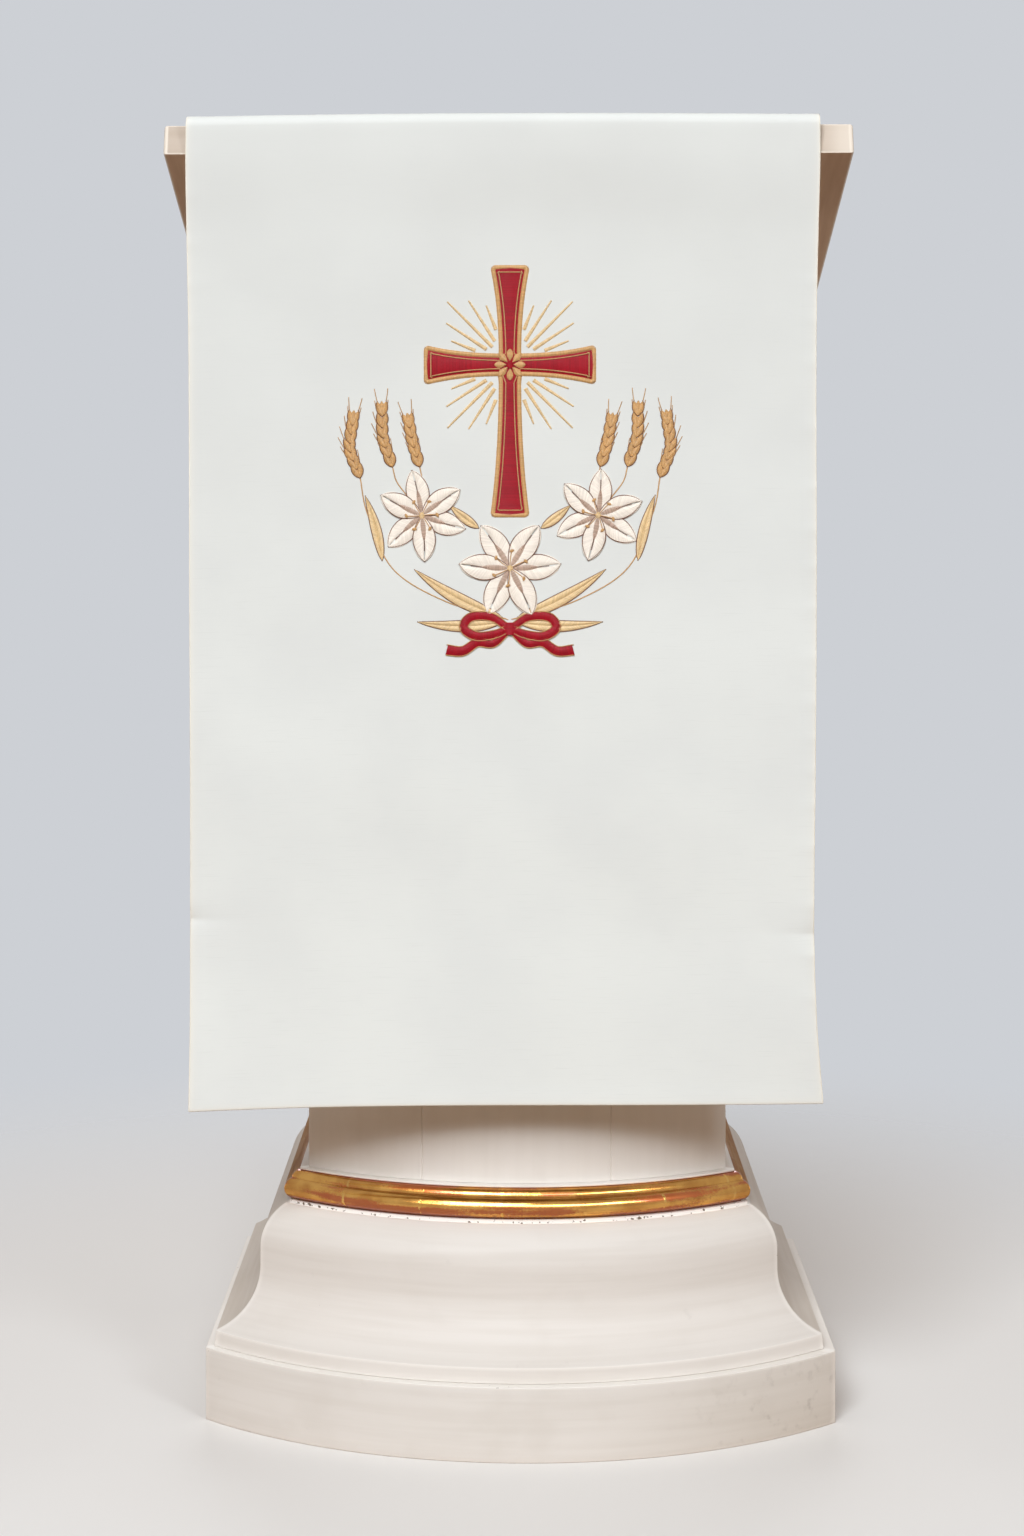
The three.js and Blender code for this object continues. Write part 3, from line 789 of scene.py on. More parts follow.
# %% The tree that lays the stitches
def laid_stitches():
    tree = bpy.data.node_groups.new("laid stitches", "GeometryNodeTree")
    sockets = [("Paths", "Geometry"), ("Spacing", "Float"), ("Thread radius", "Float"), ("Crown", "Float"),
               ("Sink", "Float"), ("Unevenness", "Float"), ("Seed", "Int"), ("Thread", "Material")]
    tree.interface.new_socket("Geometry", in_out="OUTPUT", socket_type="NodeSocketGeometry")
    for name, kind in sockets:
        tree.interface.new_socket(name, in_out="INPUT", socket_type="NodeSocket" + kind)
    given = add(tree, "NodeGroupInput").outputs

    def node(kind, inputs=None, **settings):
        return add(tree, "GeometryNode" + kind, inputs, **settings)

    def number(name):
        return node("InputNamedAttribute", {0: name}, data_type="FLOAT").outputs[0]

    # One stitch: a thin tube from -1 to 1, arched in the middle, with both ends under the cloth.
    line = node("CurvePrimitiveLine", {"Start": (-1, 0, 0), "End": (1, 0, 0)})
    line = node("ResampleCurve", {"Curve": line, "Count": 5})
    x = add(tree, "ShaderNodeSeparateXYZ", {0: node("InputPosition")}).outputs[0]
    fullness = minus(tree, 1.0, times(tree, x, x))
    arch = minus(tree, times(tree, fullness, given["Crown"]), given["Sink"])
    offset = add(tree, "ShaderNodeCombineXYZ", {"Z": arch})
    line = node("SetPosition", {"Geometry": line, "Offset": offset})
    section = node("CurvePrimitiveCircle", {"Resolution": 4, "Radius": given["Thread radius"]})
    stitch = node("CurveToMesh", {"Curve": line, "Profile Curve": section, "Fill Caps": True})

    # The places: one at each step of every path, standing on the cloth and turned as the path says.
    paths = node("MeshToCurve", {"Mesh": given["Paths"]})
    places = node("ResampleCurve", {"Curve": paths, "Length": given["Spacing"]}, mode="LENGTH")
    out = node("InputNamedAttribute", {0: "out"}, data_type="FLOAT_VECTOR")
    way = {"Vector": node("InputTangent"), "Axis": out, "Angle": number("turn")}
    axes = {"Primary Axis": out, "Secondary Axis": add(tree, "ShaderNodeVectorRotate", way)}
    facing = add(tree, "FunctionNodeAxesToRotation", axes, primary_axis="Z", secondary_axis="Y")

    uneven = add(tree, "FunctionNodeRandomValue", {
        "Min": minus(tree, 1.0, given["Unevenness"]),
        "Max": plus(tree, 1.0, given["Unevenness"]), "Seed": given["Seed"],
    }, data_type="FLOAT")
    reach = times(tree, number("half_width"), uneven.outputs[1])
    scale = add(tree, "ShaderNodeCombineXYZ", {"X": reach, "Y": 1.0, "Z": number("rise")})
    laid = node("InstanceOnPoints", {
        "Points": places, "Instance": stitch, "Rotation": facing, "Scale": scale,
    })
    strand = add(tree, "FunctionNodeRandomValue", {"Seed": given["Seed"]}, data_type="FLOAT").outputs[1]
    kept = {"Geometry": laid, "Name": "strand", "Value": strand}
    kept = node("StoreNamedAttribute", kept, data_type="FLOAT", domain="INSTANCE")
    whole = node("RealizeInstances", {0: kept})
    dyed = node("SetMaterial", {"Geometry": node("SetShadeSmooth", {0: whole}), "Material": given["Thread"]})
    add(tree, "NodeGroupOutput", {0: dyed})
    return tree


LAID_STITCHES = laid_stitches()

# %% [markdown]
# The drawing is in millimetres, from its own middle, as a pattern maker would draw it. It is placed on the
# cloth by the same rule that shaped the cloth, so it follows every wave of it.

# %% Place the drawing on the cloth
EMBROIDERY_X = 0.0020
EMBROIDERY_Z = 0.928
MM = 0.001


def on_cover(drawn, lift=0.0):
    """Where points of the drawing lie on the face of the cloth, and the way straight out of it there."""

    def middle(x, z):
        drop = CROWN_Z - z
        free = smooth(drop, *HANGS_FREE)
        row = np.stack([np.full_like(x, PLUMB_Y), z, drop, np.ones_like(x), free], axis=-1)
        return cover_points(row, (x - COVER_X) / NOMINAL_HALF)

    x, z = EMBROIDERY_X + drawn[:, 0] * MM, EMBROIDERY_Z + drawn[:, 1] * MM
    here = middle(x, z)
    out = unit(np.cross(middle(x + MM, z) - here, middle(x, z + MM) - here))
    return here + out * (HALF_CLOTH + np.broadcast_to(lift, x.shape)[:, None] * MM), out


# %% Collect the paths of each thread
STEM_TURN = 78  # degrees from straight across a path, so almost along it
drawn_paths = {}


def lay(thread, path, half_width, turn=0.0, lift=0.0, rise=1.0, closed=False):
    """Notes a path for a thread: the stitches' half width, their turn, and how high they lie and rise."""
    path = np.asarray(path, float)
    count = len(path)
    spread = [np.broadcast_to(np.asarray(value, float), count) for value in (half_width, turn, lift, rise)]
    drawn_paths.setdefault(thread, []).append((path, *spread, closed))


def sewn(name, thread, material, **inputs):
    """One piece of embroidery: all paths of a thread, with stitches laid along them by the tree."""
    points, edges, numbers, ways, start = [], [], [], [], 0
    for path, half_width, turn, lift, rise, closed in drawn_paths[thread]:
        place, out = on_cover(path, lift)
        count = len(path)
        points.append(place)
        ways.append(out)
        numbers.append(np.stack([half_width * MM, np.radians(turn), rise], axis=1))
        edges += [(start + k, start + k + 1) for k in range(count - 1)]
        edges += [(start + count - 1, start)] if closed else []
        start += count
    mesh = bpy.data.meshes.new(name + "_paths")
    mesh.from_pydata(np.concatenate(points).tolist(), edges, [])
    paths = in_scene(name + "_paths", mesh)
    for column, attribute in enumerate(("half_width", "turn", "rise")):
        mark(paths, attribute, np.concatenate(numbers)[:, column])
    made = mesh.attributes.new("out", "FLOAT_VECTOR", "POINT")
    made.data.foreach_set("vector", np.concatenate(ways).astype(np.float32).ravel())

    stitches = paths.modifiers.new("stitches", "NODES")
    stitches.node_group = LAID_STITCHES
    sockets = {item.name: item.identifier for item in LAID_STITCHES.interface.items_tree}
    for socket, value in {**inputs, "Thread": material}.items():
        stitches[sockets[socket]] = value
    bpy.context.view_layer.update()
    evaluated = paths.evaluated_get(bpy.context.evaluated_depsgraph_get())
    piece = in_scene(name, bpy.data.meshes.new_from_object(evaluated))
    bpy.data.objects.remove(paths)
    triangles = sum(len(polygon.vertices) - 2 for polygon in piece.data.polygons)
    print(name, "has", len(drawn_paths[thread]), "paths and", triangles, "triangles")
    return piece


# %% [markdown]
# Most shapes are drawn the same way: a bent line down the middle, and a width on each side of it that grows
# and dies away. A broad petal or leaf is sewn in two halves, whose stitches slant up from the middle line.

# %% Lines and leaf shapes
def through(points, count=28):
    """A smooth line through a few points."""
    points = np.asarray(points, float)
    padded = np.concatenate([[2 * points[0] - points[1]], points, [2 * points[-1] - points[-2]]])
    made = []
    for t in np.linspace(0, len(points) - 1, count):
        k = min(int(t), len(points) - 2)
        a, b, c, d = padded[k:k + 4]
        s = t - k
        place = 2 * b + (c - a) * s + (2 * a - 5 * b + 4 * c - d) * s**2
        made.append(0.5 * (place + (3 * b - a - 3 * c + d) * s**3))
    return np.array(made)


def heading(degrees):
    """A step of one in a direction, turned from straight up towards the right."""
    angle = math.radians(degrees)
    return np.array([math.sin(angle), math.cos(angle)])


def beside(line):
    """The way to the left of a line, at each of its points."""
    along = unit(np.gradient(line, axis=0))
    return np.stack([-along[:, 1], along[:, 0]], axis=1)


def bent(root, degrees, length, bend=0.0, count=20):
    """A line from a root, leaving in a direction and bending to the right by a share of its length."""
    share = np.linspace(0, 1, count)[:, None]
    ahead, aside = heading(degrees), heading(degrees + 90)
    return np.asarray(root, float) + length * (share * ahead + bend * share**2 * aside)


def swell(count, fullest=0.45, blunt=0.8):
    """A width that grows from nothing to 1 at the fullest place and dies away again."""
    share = np.linspace(0, 1, count)
    power = math.log(0.5) / math.log(fullest)
    return np.sin(math.pi * share**power) ** blunt


def leaf(thread, line, half_width, slant=32, lift=0.0, rise=1.0, fullest=0.45, blunt=0.8, outline=None):
    """A leaf or petal in two halves, with a line sewn round it where one is named."""
    left = beside(line)
    width = half_width * swell(len(line), fullest, blunt)
    for side in (-1, 1):
        middle = line + side * left * width[:, None] / 2
        half = np.maximum(width / 2, 0.25) / math.cos(math.radians(slant))
        lay(thread, middle, half, turn=-side * slant, lift=lift, rise=rise)
        if outline:
            lay(outline, line + side * left * width[:, None], 1.0, turn=STEM_TURN, lift=lift)


def dot(thread, place, reach, radius, count, rise=1.0):
    """A round dot, laid as far as reach, which is a little short of its radius."""
    across = np.linspace(-reach, reach, count)
    lay(thread, place + np.outer(across, (0, 1)), np.sqrt(radius**2 - across**2), lift=1.9, rise=rise)


# %% [markdown]
# Thread is spun and dyed, so it shines along its length, no two strands take the dye quite alike, and the
# plies show as a fine roughness. The effect is one node group, and every thread is a colour given to it.

# %% Thread
def spun_thread_group():
    group, given, out = finish_group(
        "spun thread", [("Dye", "Color", (0.5, 0.5, 0.5, 1)), ("Depth", "Float", 0.5)],
    )
    strand = marked(group, "strand")
    solid = solid_place(group)
    ply = noise(group, solid, 1500.0, 2.0)
    batch = noise(group, solid, 45.0, 2.0)
    paler = tinted(group, given["Dye"], (1.16, 1.15, 1.14))
    deeper = tinted(group, given["Dye"], (0.76, 0.73, 0.70))
    tone = plus(group, times(group, strand, 0.7), times(group, batch, 0.6))
    strength = times(group, ramp(group, tone, 0.25, 1.05), given["Depth"])
    dyed = blended(group, strength, paler, deeper)
    dyed = blended(group, ramp(group, ply, 0.5, 0.75, 0.0, 0.35), dyed, deeper)
    group.links.new(dyed, out["Colour"])
    group.links.new(ramp(group, ply, 0.3, 0.7, 0.34, 0.52), out["Roughness"])
    group.links.new(ply, out["Height"])
    return group


SPUN_THREAD = spun_thread_group()


def thread(name, dye, depth=0.6, specular=0.7, sheen=0.25):
    material, tree, shader = new_material(name, dye, 0.45, Sheen_Weight=sheen, Specular_IOR_Level=specular)
    spun = placed(tree, SPUN_THREAD, Dye=dye, Depth=depth)
    dressed(tree, shader, spun["Colour"], spun["Roughness"], spun["Height"], 0.4, 0.0001)
    return material


THREADS = {
    "crimson": thread("crimson_thread", colour(168, 10, 32), 0.7, specular=0.25, sheen=0.04),
    "gold": thread("gold_thread", colour(206, 160, 96)),
    "light_gold": thread("light_gold_thread", colour(226, 196, 144)),
    "ivory": thread("ivory_thread", colour(242, 233, 221), 0.4, specular=0.5),
    "fawn": thread("fawn_thread", colour(196, 168, 148), 0.8, specular=0.5),
    "brown_line": thread("brown_thread", colour(122, 76, 50), specular=0.4, sheen=0.1),
    "gold_line": thread("gold_cord_thread", colour(196, 148, 84)),
}

# %% [markdown]
# The middle of the design is a plain cross with flared ends. Its field is laid in crimson, straight across
# each arm. A gold border covers the ends of the laid threads, and a thin gold line runs inside it.

# %% Cross
CROSS = {"height": 92, "up": 92, "down": 142, "aside": 80, "waist": 8.5, "flare": 8.0, "border": 2.1}


def arm_width(share):
    return CROSS["waist"] + CROSS["flare"] * share**2.4


def cross_outline(inset):
    """Round the cross from the top of its upper arm, clockwise, a little inside its edge."""
    share = np.linspace(1, 0.12, 14)
    width = arm_width(share) - inset

    def arm(length, degrees):
        away, aside = heading(degrees), heading(degrees + 90)
        reach = share * length - inset * (share == 1)
        near = away * reach[:, None]
        return near + aside * width[:, None], near[::-1] - aside * width[::-1, None]

    made = []
    for part, degrees in (("up", 0), ("aside", 90), ("down", 180), ("aside", 270)):
        right, left = arm(CROSS[part], degrees)
        made += [left, right]
    return eased(np.concatenate(made) + np.array([0, CROSS["height"]]), 2.2, steps=5)


upright = np.linspace(-CROSS["down"], CROSS["up"], 60)
upright_width = arm_width(np.where(upright > 0, upright / CROSS["up"], -upright / CROSS["down"]))
lay("crimson", np.stack([0 * upright, upright + CROSS["height"]], axis=1), upright_width, rise=1.3)
for side in (-1, 1):
    away = np.linspace(CROSS["waist"], CROSS["aside"], 24)
    arm_line = np.stack([side * away, 0 * away + CROSS["height"]], axis=1)
    lay("crimson", arm_line, arm_width(away / CROSS["aside"]), rise=1.3)
lay("gold", cross_outline(0), CROSS["border"], lift=0.3, rise=1.1, closed=True)
lay("gold_line", cross_outline(4.6), 1.5, turn=STEM_TURN, lift=1.0, closed=True)

# %% Rays and rosette
# Each ray's turn from the middle of its quarter, and how far out it starts and ends.
RAYS = ((0, 24, 84), (12, 27, 72), (-12, 27, 72), (23, 36, 60), (-23, 36, 60))
middle = np.array([0, CROSS["height"]])
for quarter in (45, 135, 225, 315):
    for aside, start, end in RAYS:
        way = heading(quarter + aside)
        ray = middle + np.outer(np.linspace(start, end, 12), way)
        lay("light_gold", ray, np.linspace(1.9, 0.8, 12))
for step in range(8):
    root = middle + 3.0 * heading(45 * step)
    petal = bent(root, 45 * step, 12, count=12)
    lay("gold", petal, 3.1 * swell(12, 0.6), lift=1.3, rise=1.0)
dot("crimson", middle, 3.4, 3.6, 9, rise=1.2)

# %% [markdown]
# Three open lilies. Each has six petals, three behind and three in front. A petal is sewn in ivory in two
# halves, shaded fawn towards its root, and drawn round in brown. Six stamens stand in the middle.

# %% Lilies
def lily(place, reach, turn):
    place = np.array(place, float)
    for front in (0, 1):
        for third in range(3):
            degrees = turn + 60 * front + 120 * third
            lift = 0.4 + 0.7 * front
            line = bent(place, degrees, reach, bend=0.08 if front else -0.08, count=22)
            leaf("ivory", line, 0.25 * reach, lift=lift, fullest=0.52, blunt=0.75, outline="brown_line")
            lay("fawn", line[1:13], 0.075 * reach * swell(12, 0.35), lift=lift + 0.5, rise=0.8)
            lay("brown_line", line[9:17], 0.7, turn=80, lift=lift + 0.75)
    for step in range(6):
        degrees = turn + 30 + 60 * step
        stamen = bent(place, degrees, 0.34 * reach, bend=0.1, count=10)
        lay("gold_line", stamen, 1.2, turn=80, lift=1.9)
        anther = bent(stamen[-1] - 2.2 * heading(degrees + 70), degrees + 70, 4.8, count=7)
        lay("gold", anther, 1.5 * swell(7, 0.5), lift=2.1, rise=0.9)
    dot("light_gold", place, 2.6, 2.8, 7)


lily((0, -100), 48, 90)
for side in (-1, 1):
    lily((84 * side, -50), 43, 8 * side)

# %% [markdown]
# Wheat rises on both sides: a stem, pairs of plump grains up the ear, and a fine bristle from each grain. A
# brown line along its outer side parts each grain from the next, or the ear would read as one gold stripe.
# Slender leaves fill the corners below, and a crimson ribbon with gold edges ties it all together.

# %% Wheat
GRAIN = {"length": 14.5, "half_width": 2.8, "pitch": 7.4, "splay": 24, "bristle": 19}


def ear(side, foot, tip, bend, pairs):
    foot, tip = np.array(foot, float) * (side, 1), np.array(tip, float) * (side, 1)
    chord = tip - foot
    line = through([foot, (foot + tip) / 2 + side * bend * np.array([chord[1], -chord[0]]), tip], 40)
    way = np.gradient(line, axis=0)
    spots = np.linspace(0, len(line) - 4, pairs).astype(int)
    lay("gold_line", line[:-3], 1.4, turn=STEM_TURN, lift=0.2)
    for spot in spots:
        degrees = math.degrees(math.atan2(way[spot][0], way[spot][1]))
        for aside in (-1, 1):
            turned = degrees + aside * GRAIN["splay"]
            grain = bent(line[spot], turned, GRAIN["length"], bend=-0.12 * aside, count=12)
            plump = GRAIN["half_width"] * swell(12, 0.5)
            lay("gold", grain, plump, turn=-14 * aside, lift=0.35, rise=1.1)
            lay("brown_line", grain - aside * beside(grain) * plump[:, None], 0.85, turn=STEM_TURN, lift=0.35)
            closing = turned - 0.5 * aside * GRAIN["splay"]
            bristle = bent(grain[-2], closing, GRAIN["bristle"], bend=-0.05 * aside)
            lay("gold_line", bristle[:14], np.linspace(1.1, 0.8, 14), turn=82, lift=0.1)
    last = bent(line[-4], degrees, GRAIN["length"], count=12)
    lay("gold", last, GRAIN["half_width"] * swell(12, 0.5), lift=0.5)


STALKS = (
    # (points that it passes through, how many points it is drawn with)
    ([(3, -148), (62, -131), (112, -100), (136, -48), (143, -14)], 60),
    ([(96, -34), (108, -18), (112, -4)], 14),
    ([(80, -30), (84, -14), (86, -4)], 14),
)
EARS = (
    # (foot, tip, bend, pairs of grains)
    ((143, -14), (150, 40), 0.10, 7),
    ((112, -4), (122, 48), 0.06, 6),
    ((86, -4), (96, 36), 0.02, 5),
)
for side in (-1, 1):
    for points, count in STALKS:
        lay("gold_line", through(points, count) * (side, 1), 1.8, turn=76)
    for row in EARS:
        ear(side, *row)

# %% Leaves
LEAVES = (
    # (root across and up, way it leaves, length, bend, half width)
    ((8, -146), 73, 92, -0.20, 6.0),
    ((8, -151), 101, 78, -0.20, 5.4),
    ((122, -92), 8, 62, 0.12, 4.8),
    ((30, -62), 58, 34, -0.10, 4.4),
)
for (across, up), degrees, length, bend, half_width in LEAVES:
    for side in (-1, 1):
        line = bent((side * across, up), side * degrees, length, bend=side * bend, count=26)
        leaf("light_gold", line, half_width, slant=38, lift=0.15, fullest=0.42, outline="brown_line")

# %% Ribbon
RIBBON = 4.3
loop = [(2, -156), (18, -146), (37, -146), (44, -156), (32, -164), (14, -162), (2, -157)]
tail = [(3, -160), (16, -171), (31, -170), (45, -178), (60, -177)]
for side in (-1, 1):
    for drawn, lift in ((tail, 0.5), (loop, 0.9)):
        line = through(drawn, 50) * (side, 1)
        width = RIBBON * (0.55 + 0.45 * np.sin(np.linspace(0.25, 2.9, 50)) ** 0.6)
        if drawn is tail:
            width = RIBBON * np.linspace(0.75, 1.15, 50)
        lay("crimson", line, width, turn=10 * side, lift=lift)
        for edge in (-1, 1):
            cord = line + edge * beside(line) * width[:, None]
            lay("gold_line", cord, 1.0, turn=STEM_TURN, lift=lift + 0.2)
tie = np.linspace(-5.5, 5.5, 12)
lay("crimson", np.stack([0 * tie, tie - 157], axis=1), 4.6 - 0.03 * tie**2, lift=1.7, rise=1.2)

# %% Sew it
SATIN = {"Spacing": 0.00062, "Thread radius": 0.00042, "Crown": 0.0009, "Sink": 0.00025, "Unevenness": 0.05}
STEM = {"Spacing": 0.0015, "Thread radius": 0.00040, "Crown": 0.0006, "Sink": 0.00020, "Unevenness": 0.12}
embroidery = []
for seed, name in enumerate(THREADS):
    stitch = STEM if name.endswith("_line") else SATIN
    embroidery.append(sewn("embroidery_" + name, name, THREADS[name], **stitch, Seed=seed))
print("The embroidery is in", len(embroidery), "threads")


# %% [markdown]
# ## Finishes
#
# Paint on old joinery shows how it was put on: faint streaks along the brush, a little cloudiness, and
# small chips where an edge is knocked. All three come from one node group, so every painted piece wears
# the same coat, each with its own amounts.

# %% Brushed paint as a node group
def brushed_paint_group():
    group, given, out = finish_group(
        "brushed paint",
        [("Paint", "Color", (0.7, 0.65, 0.6, 1)), ("Rubbed", "Color", (0.9, 0.85, 0.8, 1)),
         ("Under", "Color", (0.1, 0.08, 0.06, 1)), ("Streaks", "Float", 0.5), ("Chips", "Float", 0.5),
         ("Stroke", "Vector", (5, 95, 1))],
    )
    place = map_place(group)
    solid = solid_place(group)
    drawn_out = add(group, "ShaderNodeVectorMath", {0: place, 1: given["Stroke"]}, operation="MULTIPLY")
    drawn_out = drawn_out.outputs[0]
    streak = noise(group, drawn_out, 1.0, 4.0)
    bristle = noise(group, drawn_out, 7.0, 2.0)
    cloud = noise(group, solid, 13.0, 6.0)
    grime = noise(group, solid, 38.0, 6.0)

    lighter = tinted(group, given["Paint"], (1.05, 1.055, 1.06))
    darker = tinted(group, given["Paint"], (0.90, 0.885, 0.86))
    tone = times(group, ramp(group, streak, 0.35, 0.7), given["Streaks"])
    coat = blended(group, tone, lighter, darker)
    coat = blended(group, ramp(group, cloud, 0.50, 0.74, 0.0, 0.35), coat, darker)
    coat = blended(group, ramp(group, cloud, 0.28, 0.50, 0.4, 0.0), coat, lighter)
    coat = blended(group, ramp(group, grime, 0.68, 0.82, 0.0, 0.12), coat, given["Under"])

    # Towards the plinth's right corner: an even darkening, which is painted shade, and smudges from shoes.
    scuffs_and_shade = marked(group, "scuffs_and_shade")
    shaded = tinted(group, coat, (0.82, 0.78, 0.73))
    coat = blended(group, times(group, scuffs_and_shade, 0.85), coat, shaded)
    rub = noise(group, solid, 110.0, 6.0)
    rub = times(group, ramp(group, rub, 0.50, 0.72, 0.0, 0.4), ramp(group, grime, 0.42, 0.6))
    smudge = times(group, rub, maths(group, "POWER", scuffs_and_shade, 2.0))
    coat = blended(group, smudge, coat, given["Under"])

    # The sides are painted darker: painted shade.
    side_shade = marked(group, "side_shade")
    shaded = tinted(group, coat, (0.78, 0.735, 0.685))
    coat = blended(group, side_shade, coat, shaded)

    worn = marked(group, "worn")
    # Worn edges turn paler: partly wear, partly a painted highlight.
    coat = blended(group, ramp(group, worn, 0.05, 0.8, 0.0, 0.9), coat, given["Rubbed"])
    flake = noise(group, solid, 250.0, 3.0)
    patch = noise(group, solid, 24.0, 2.0)
    ease = times(group, maths(group, "POWER", worn, 2.0), given["Chips"])
    level = plus(group, times(group, patch, 0.35), flake)
    chipped = ramp(group, plus(group, level, times(group, ease, 0.29)), 1.02, 1.06)
    group.links.new(blended(group, chipped, coat, given["Under"]), out["Colour"])
    group.links.new(ramp(group, streak, 0.2, 0.8, 0.5, 0.68), out["Roughness"])
    relief = plus(group, times(group, bristle, 0.5), streak)
    group.links.new(minus(group, relief, times(group, chipped, 1.5)), out["Height"])
    return group


BRUSHED_PAINT = brushed_paint_group()
ROUND, ALONG = (5, 95, 1), (95, 5, 1)
UNDERCOAT = colour(112, 95, 80)


def painted(name, paint, rubbed, chips=1.0, stroke=ROUND, streaks=0.35):
    """Eggshell paint on wood, brushed round a piece or along it. Its rubbed colour is worn paint, and also a
    painted highlight on the edges.
    """
    material, tree, shader = new_material(name, paint, 0.5, Specular_IOR_Level=0.25)
    coat = placed(tree, BRUSHED_PAINT, Paint=paint, Rubbed=rubbed, Under=UNDERCOAT, Streaks=streaks,
                  Chips=chips, Stroke=stroke)
    dressed(tree, shader, coat["Colour"], coat["Roughness"], coat["Height"], 0.25, 0.0002)
    return material


# The rubbed creams are worn paint and also a painted highlight on the edges.
CREAM, RUBBED_AND_HIGHLIGHT_CREAM = colour(229, 222, 214), colour(246, 240, 232)
HANDLED_CREAM, HANDLED_HIGHLIGHT = colour(195, 178, 161), colour(242, 230, 214)
# The plinth's cream is a little lighter and the base moulding's a little darker than the rest: painted light
# on the plinth and painted shade on the moulding.
PLINTH_CREAM_WITH_PAINTED_LIGHT, BASE_CREAM_WITH_PAINTED_SHADE = colour(233, 228, 221), colour(226, 219, 211)
for piece, cream in ((plinth, PLINTH_CREAM_WITH_PAINTED_LIGHT), (base, BASE_CREAM_WITH_PAINTED_SHADE), (neck, CREAM)):
    piece.data.materials.append(painted("paint_on_" + piece.name, cream, RUBBED_AND_HIGHLIGHT_CREAM))
shaft.data.materials.append(painted("paint_on_shaft", CREAM, RUBBED_AND_HIGHLIGHT_CREAM, stroke=ALONG, streaks=0.14))
board.data.materials.append(painted("paint_on_desk", HANDLED_CREAM, HANDLED_HIGHLIGHT, 0.2, ALONG))

# %% [markdown]
# The underside of the board has a tan wood finish with a grain. Its brown tone is painted shade, the warm
# shade that falls under the board.

# %% Wood under the desk, with painted shade
def shaded_underside_wood():
    material, tree, shader = new_material("shaded_underside_wood", colour(222, 190, 162), 0.7)
    place = solid_place(tree)
    drawn = stretched(tree, place, (70.0, 4.0, 12.0))
    grain = noise(tree, drawn, 1.0, 6.0)
    shade = blended(tree, ramp(tree, grain, 0.3, 0.7), colour(234, 208, 184), colour(212, 182, 156))
    dressed(tree, shader, shade, None, grain, 0.3, 0.0003)
    return material


board.data.materials.append(shaded_underside_wood())
for polygon in board.data.polygons:
    if polygon.normal.dot(Vector(OFF_BOARD)) < -0.9:
        polygon.material_index = 1

# %% [markdown]
# Gold leaf is laid in squares over red clay, called bole, and burnished. Where it is rubbed the bole shows,
# the laps between leaves are a little brighter, and the polish is never quite even. The side returns are
# painted a darker, duller gold with less shine: painted shade.

# %% Gold leaf
LEAF_WIDTH = 0.080


def gold_leaf():
    material, tree, shader = new_material(
        "gold_leaf", colour(214, 160, 72), 0.25, Metallic=1.0, Specular_Tint=colour(176, 138, 86),
        Coat_Roughness=0.1)
    place = map_place(tree)
    solid = solid_place(tree)
    u = add(tree, "ShaderNodeSeparateXYZ", {0: place}).outputs[0]
    wander = noise(tree, solid, 55.0, 3.0)
    shifted = plus(tree, u, times(tree, wander, 0.006))
    across = maths(tree, "FRACT", maths(tree, "DIVIDE", shifted, LEAF_WIDTH))
    lap = ramp(tree, maths(tree, "ABSOLUTE", minus(tree, across, 0.5)), 0.008, 0.022, 1.0, 0.0)
    broken = noise(tree, solid, 160.0, 2.0)
    lap = times(tree, lap, ramp(tree, broken, 0.42, 0.6))

    rubbed = stretched(tree, place, (11.0, 105.0, 1.0))
    patches = noise(tree, rubbed, 1.0, 5.0)
    specks = noise(tree, solid, 420.0, 2.0)
    worn = marked(tree, "worn")
    wear = plus(tree, patches, times(tree, specks, 0.2))
    wiped = marked(tree, "wiped")
    wear = plus(tree, wear, times(tree, maths(tree, "POWER", worn, 2.0), ramp(tree, wiped, 0, 1, 0.10, 0.40)))
    wear = minus(tree, wear, times(tree, lap, 0.3))
    bole = ramp(tree, wear, 0.60, 0.74)

    leaf = blended(tree, ramp(tree, wander, 0.3, 0.7), colour(224, 166, 80), colour(194, 131, 54))
    leaf = blended(tree, times(tree, lap, 0.32), leaf, colour(240, 200, 120))
    shade = blended(tree, times(tree, bole, 0.85), leaf, colour(166, 78, 42))
    # Painted shade on the side returns: darker, less metallic and rougher.
    side_shade = marked(tree, "side_shade")
    shade = blended(tree, times(tree, side_shade, 0.85), shade, colour(128, 90, 44))
    metal = times(tree, ramp(tree, bole, 0, 1, 1.0, 0.6), ramp(tree, side_shade, 0, 1, 1.0, 0.3))
    tree.links.new(metal, shader.inputs["Metallic"])
    gloss = plus(tree, ramp(tree, wear, 0.3, 0.9, 0.08, 0.36), times(tree, side_shade, 0.4))
    tree.links.new(ramp(tree, side_shade, 0, 1, 0.6, 0.0), shader.inputs["Coat Weight"])
    relief = plus(tree, times(tree, lap, 0.6), times(tree, wander, 0.8))
    dressed(tree, shader, shade, gloss, relief, 0.3, 0.0003)
    return material


gilding.data.materials.append(gold_leaf())

# %% [markdown]
# The cover is a close plain weave, so fine that from a few steps away it is only a soft, even white. The
# weave is a bump on the cloth's own map. Slightly thicker yarns and a faint cloudiness keep it from being
# perfectly even.

# %% Woven cloth
YARN = 0.00042
# How far above the front hem a painted shade begins, is full, starts to fade, and is gone. It greys the front
# fall from just under its bend, and is lost towards the hem.
FALL_SHADE = {"begins": 0.95, "full": 0.91, "fades": 0.94, "gone": 0.12}


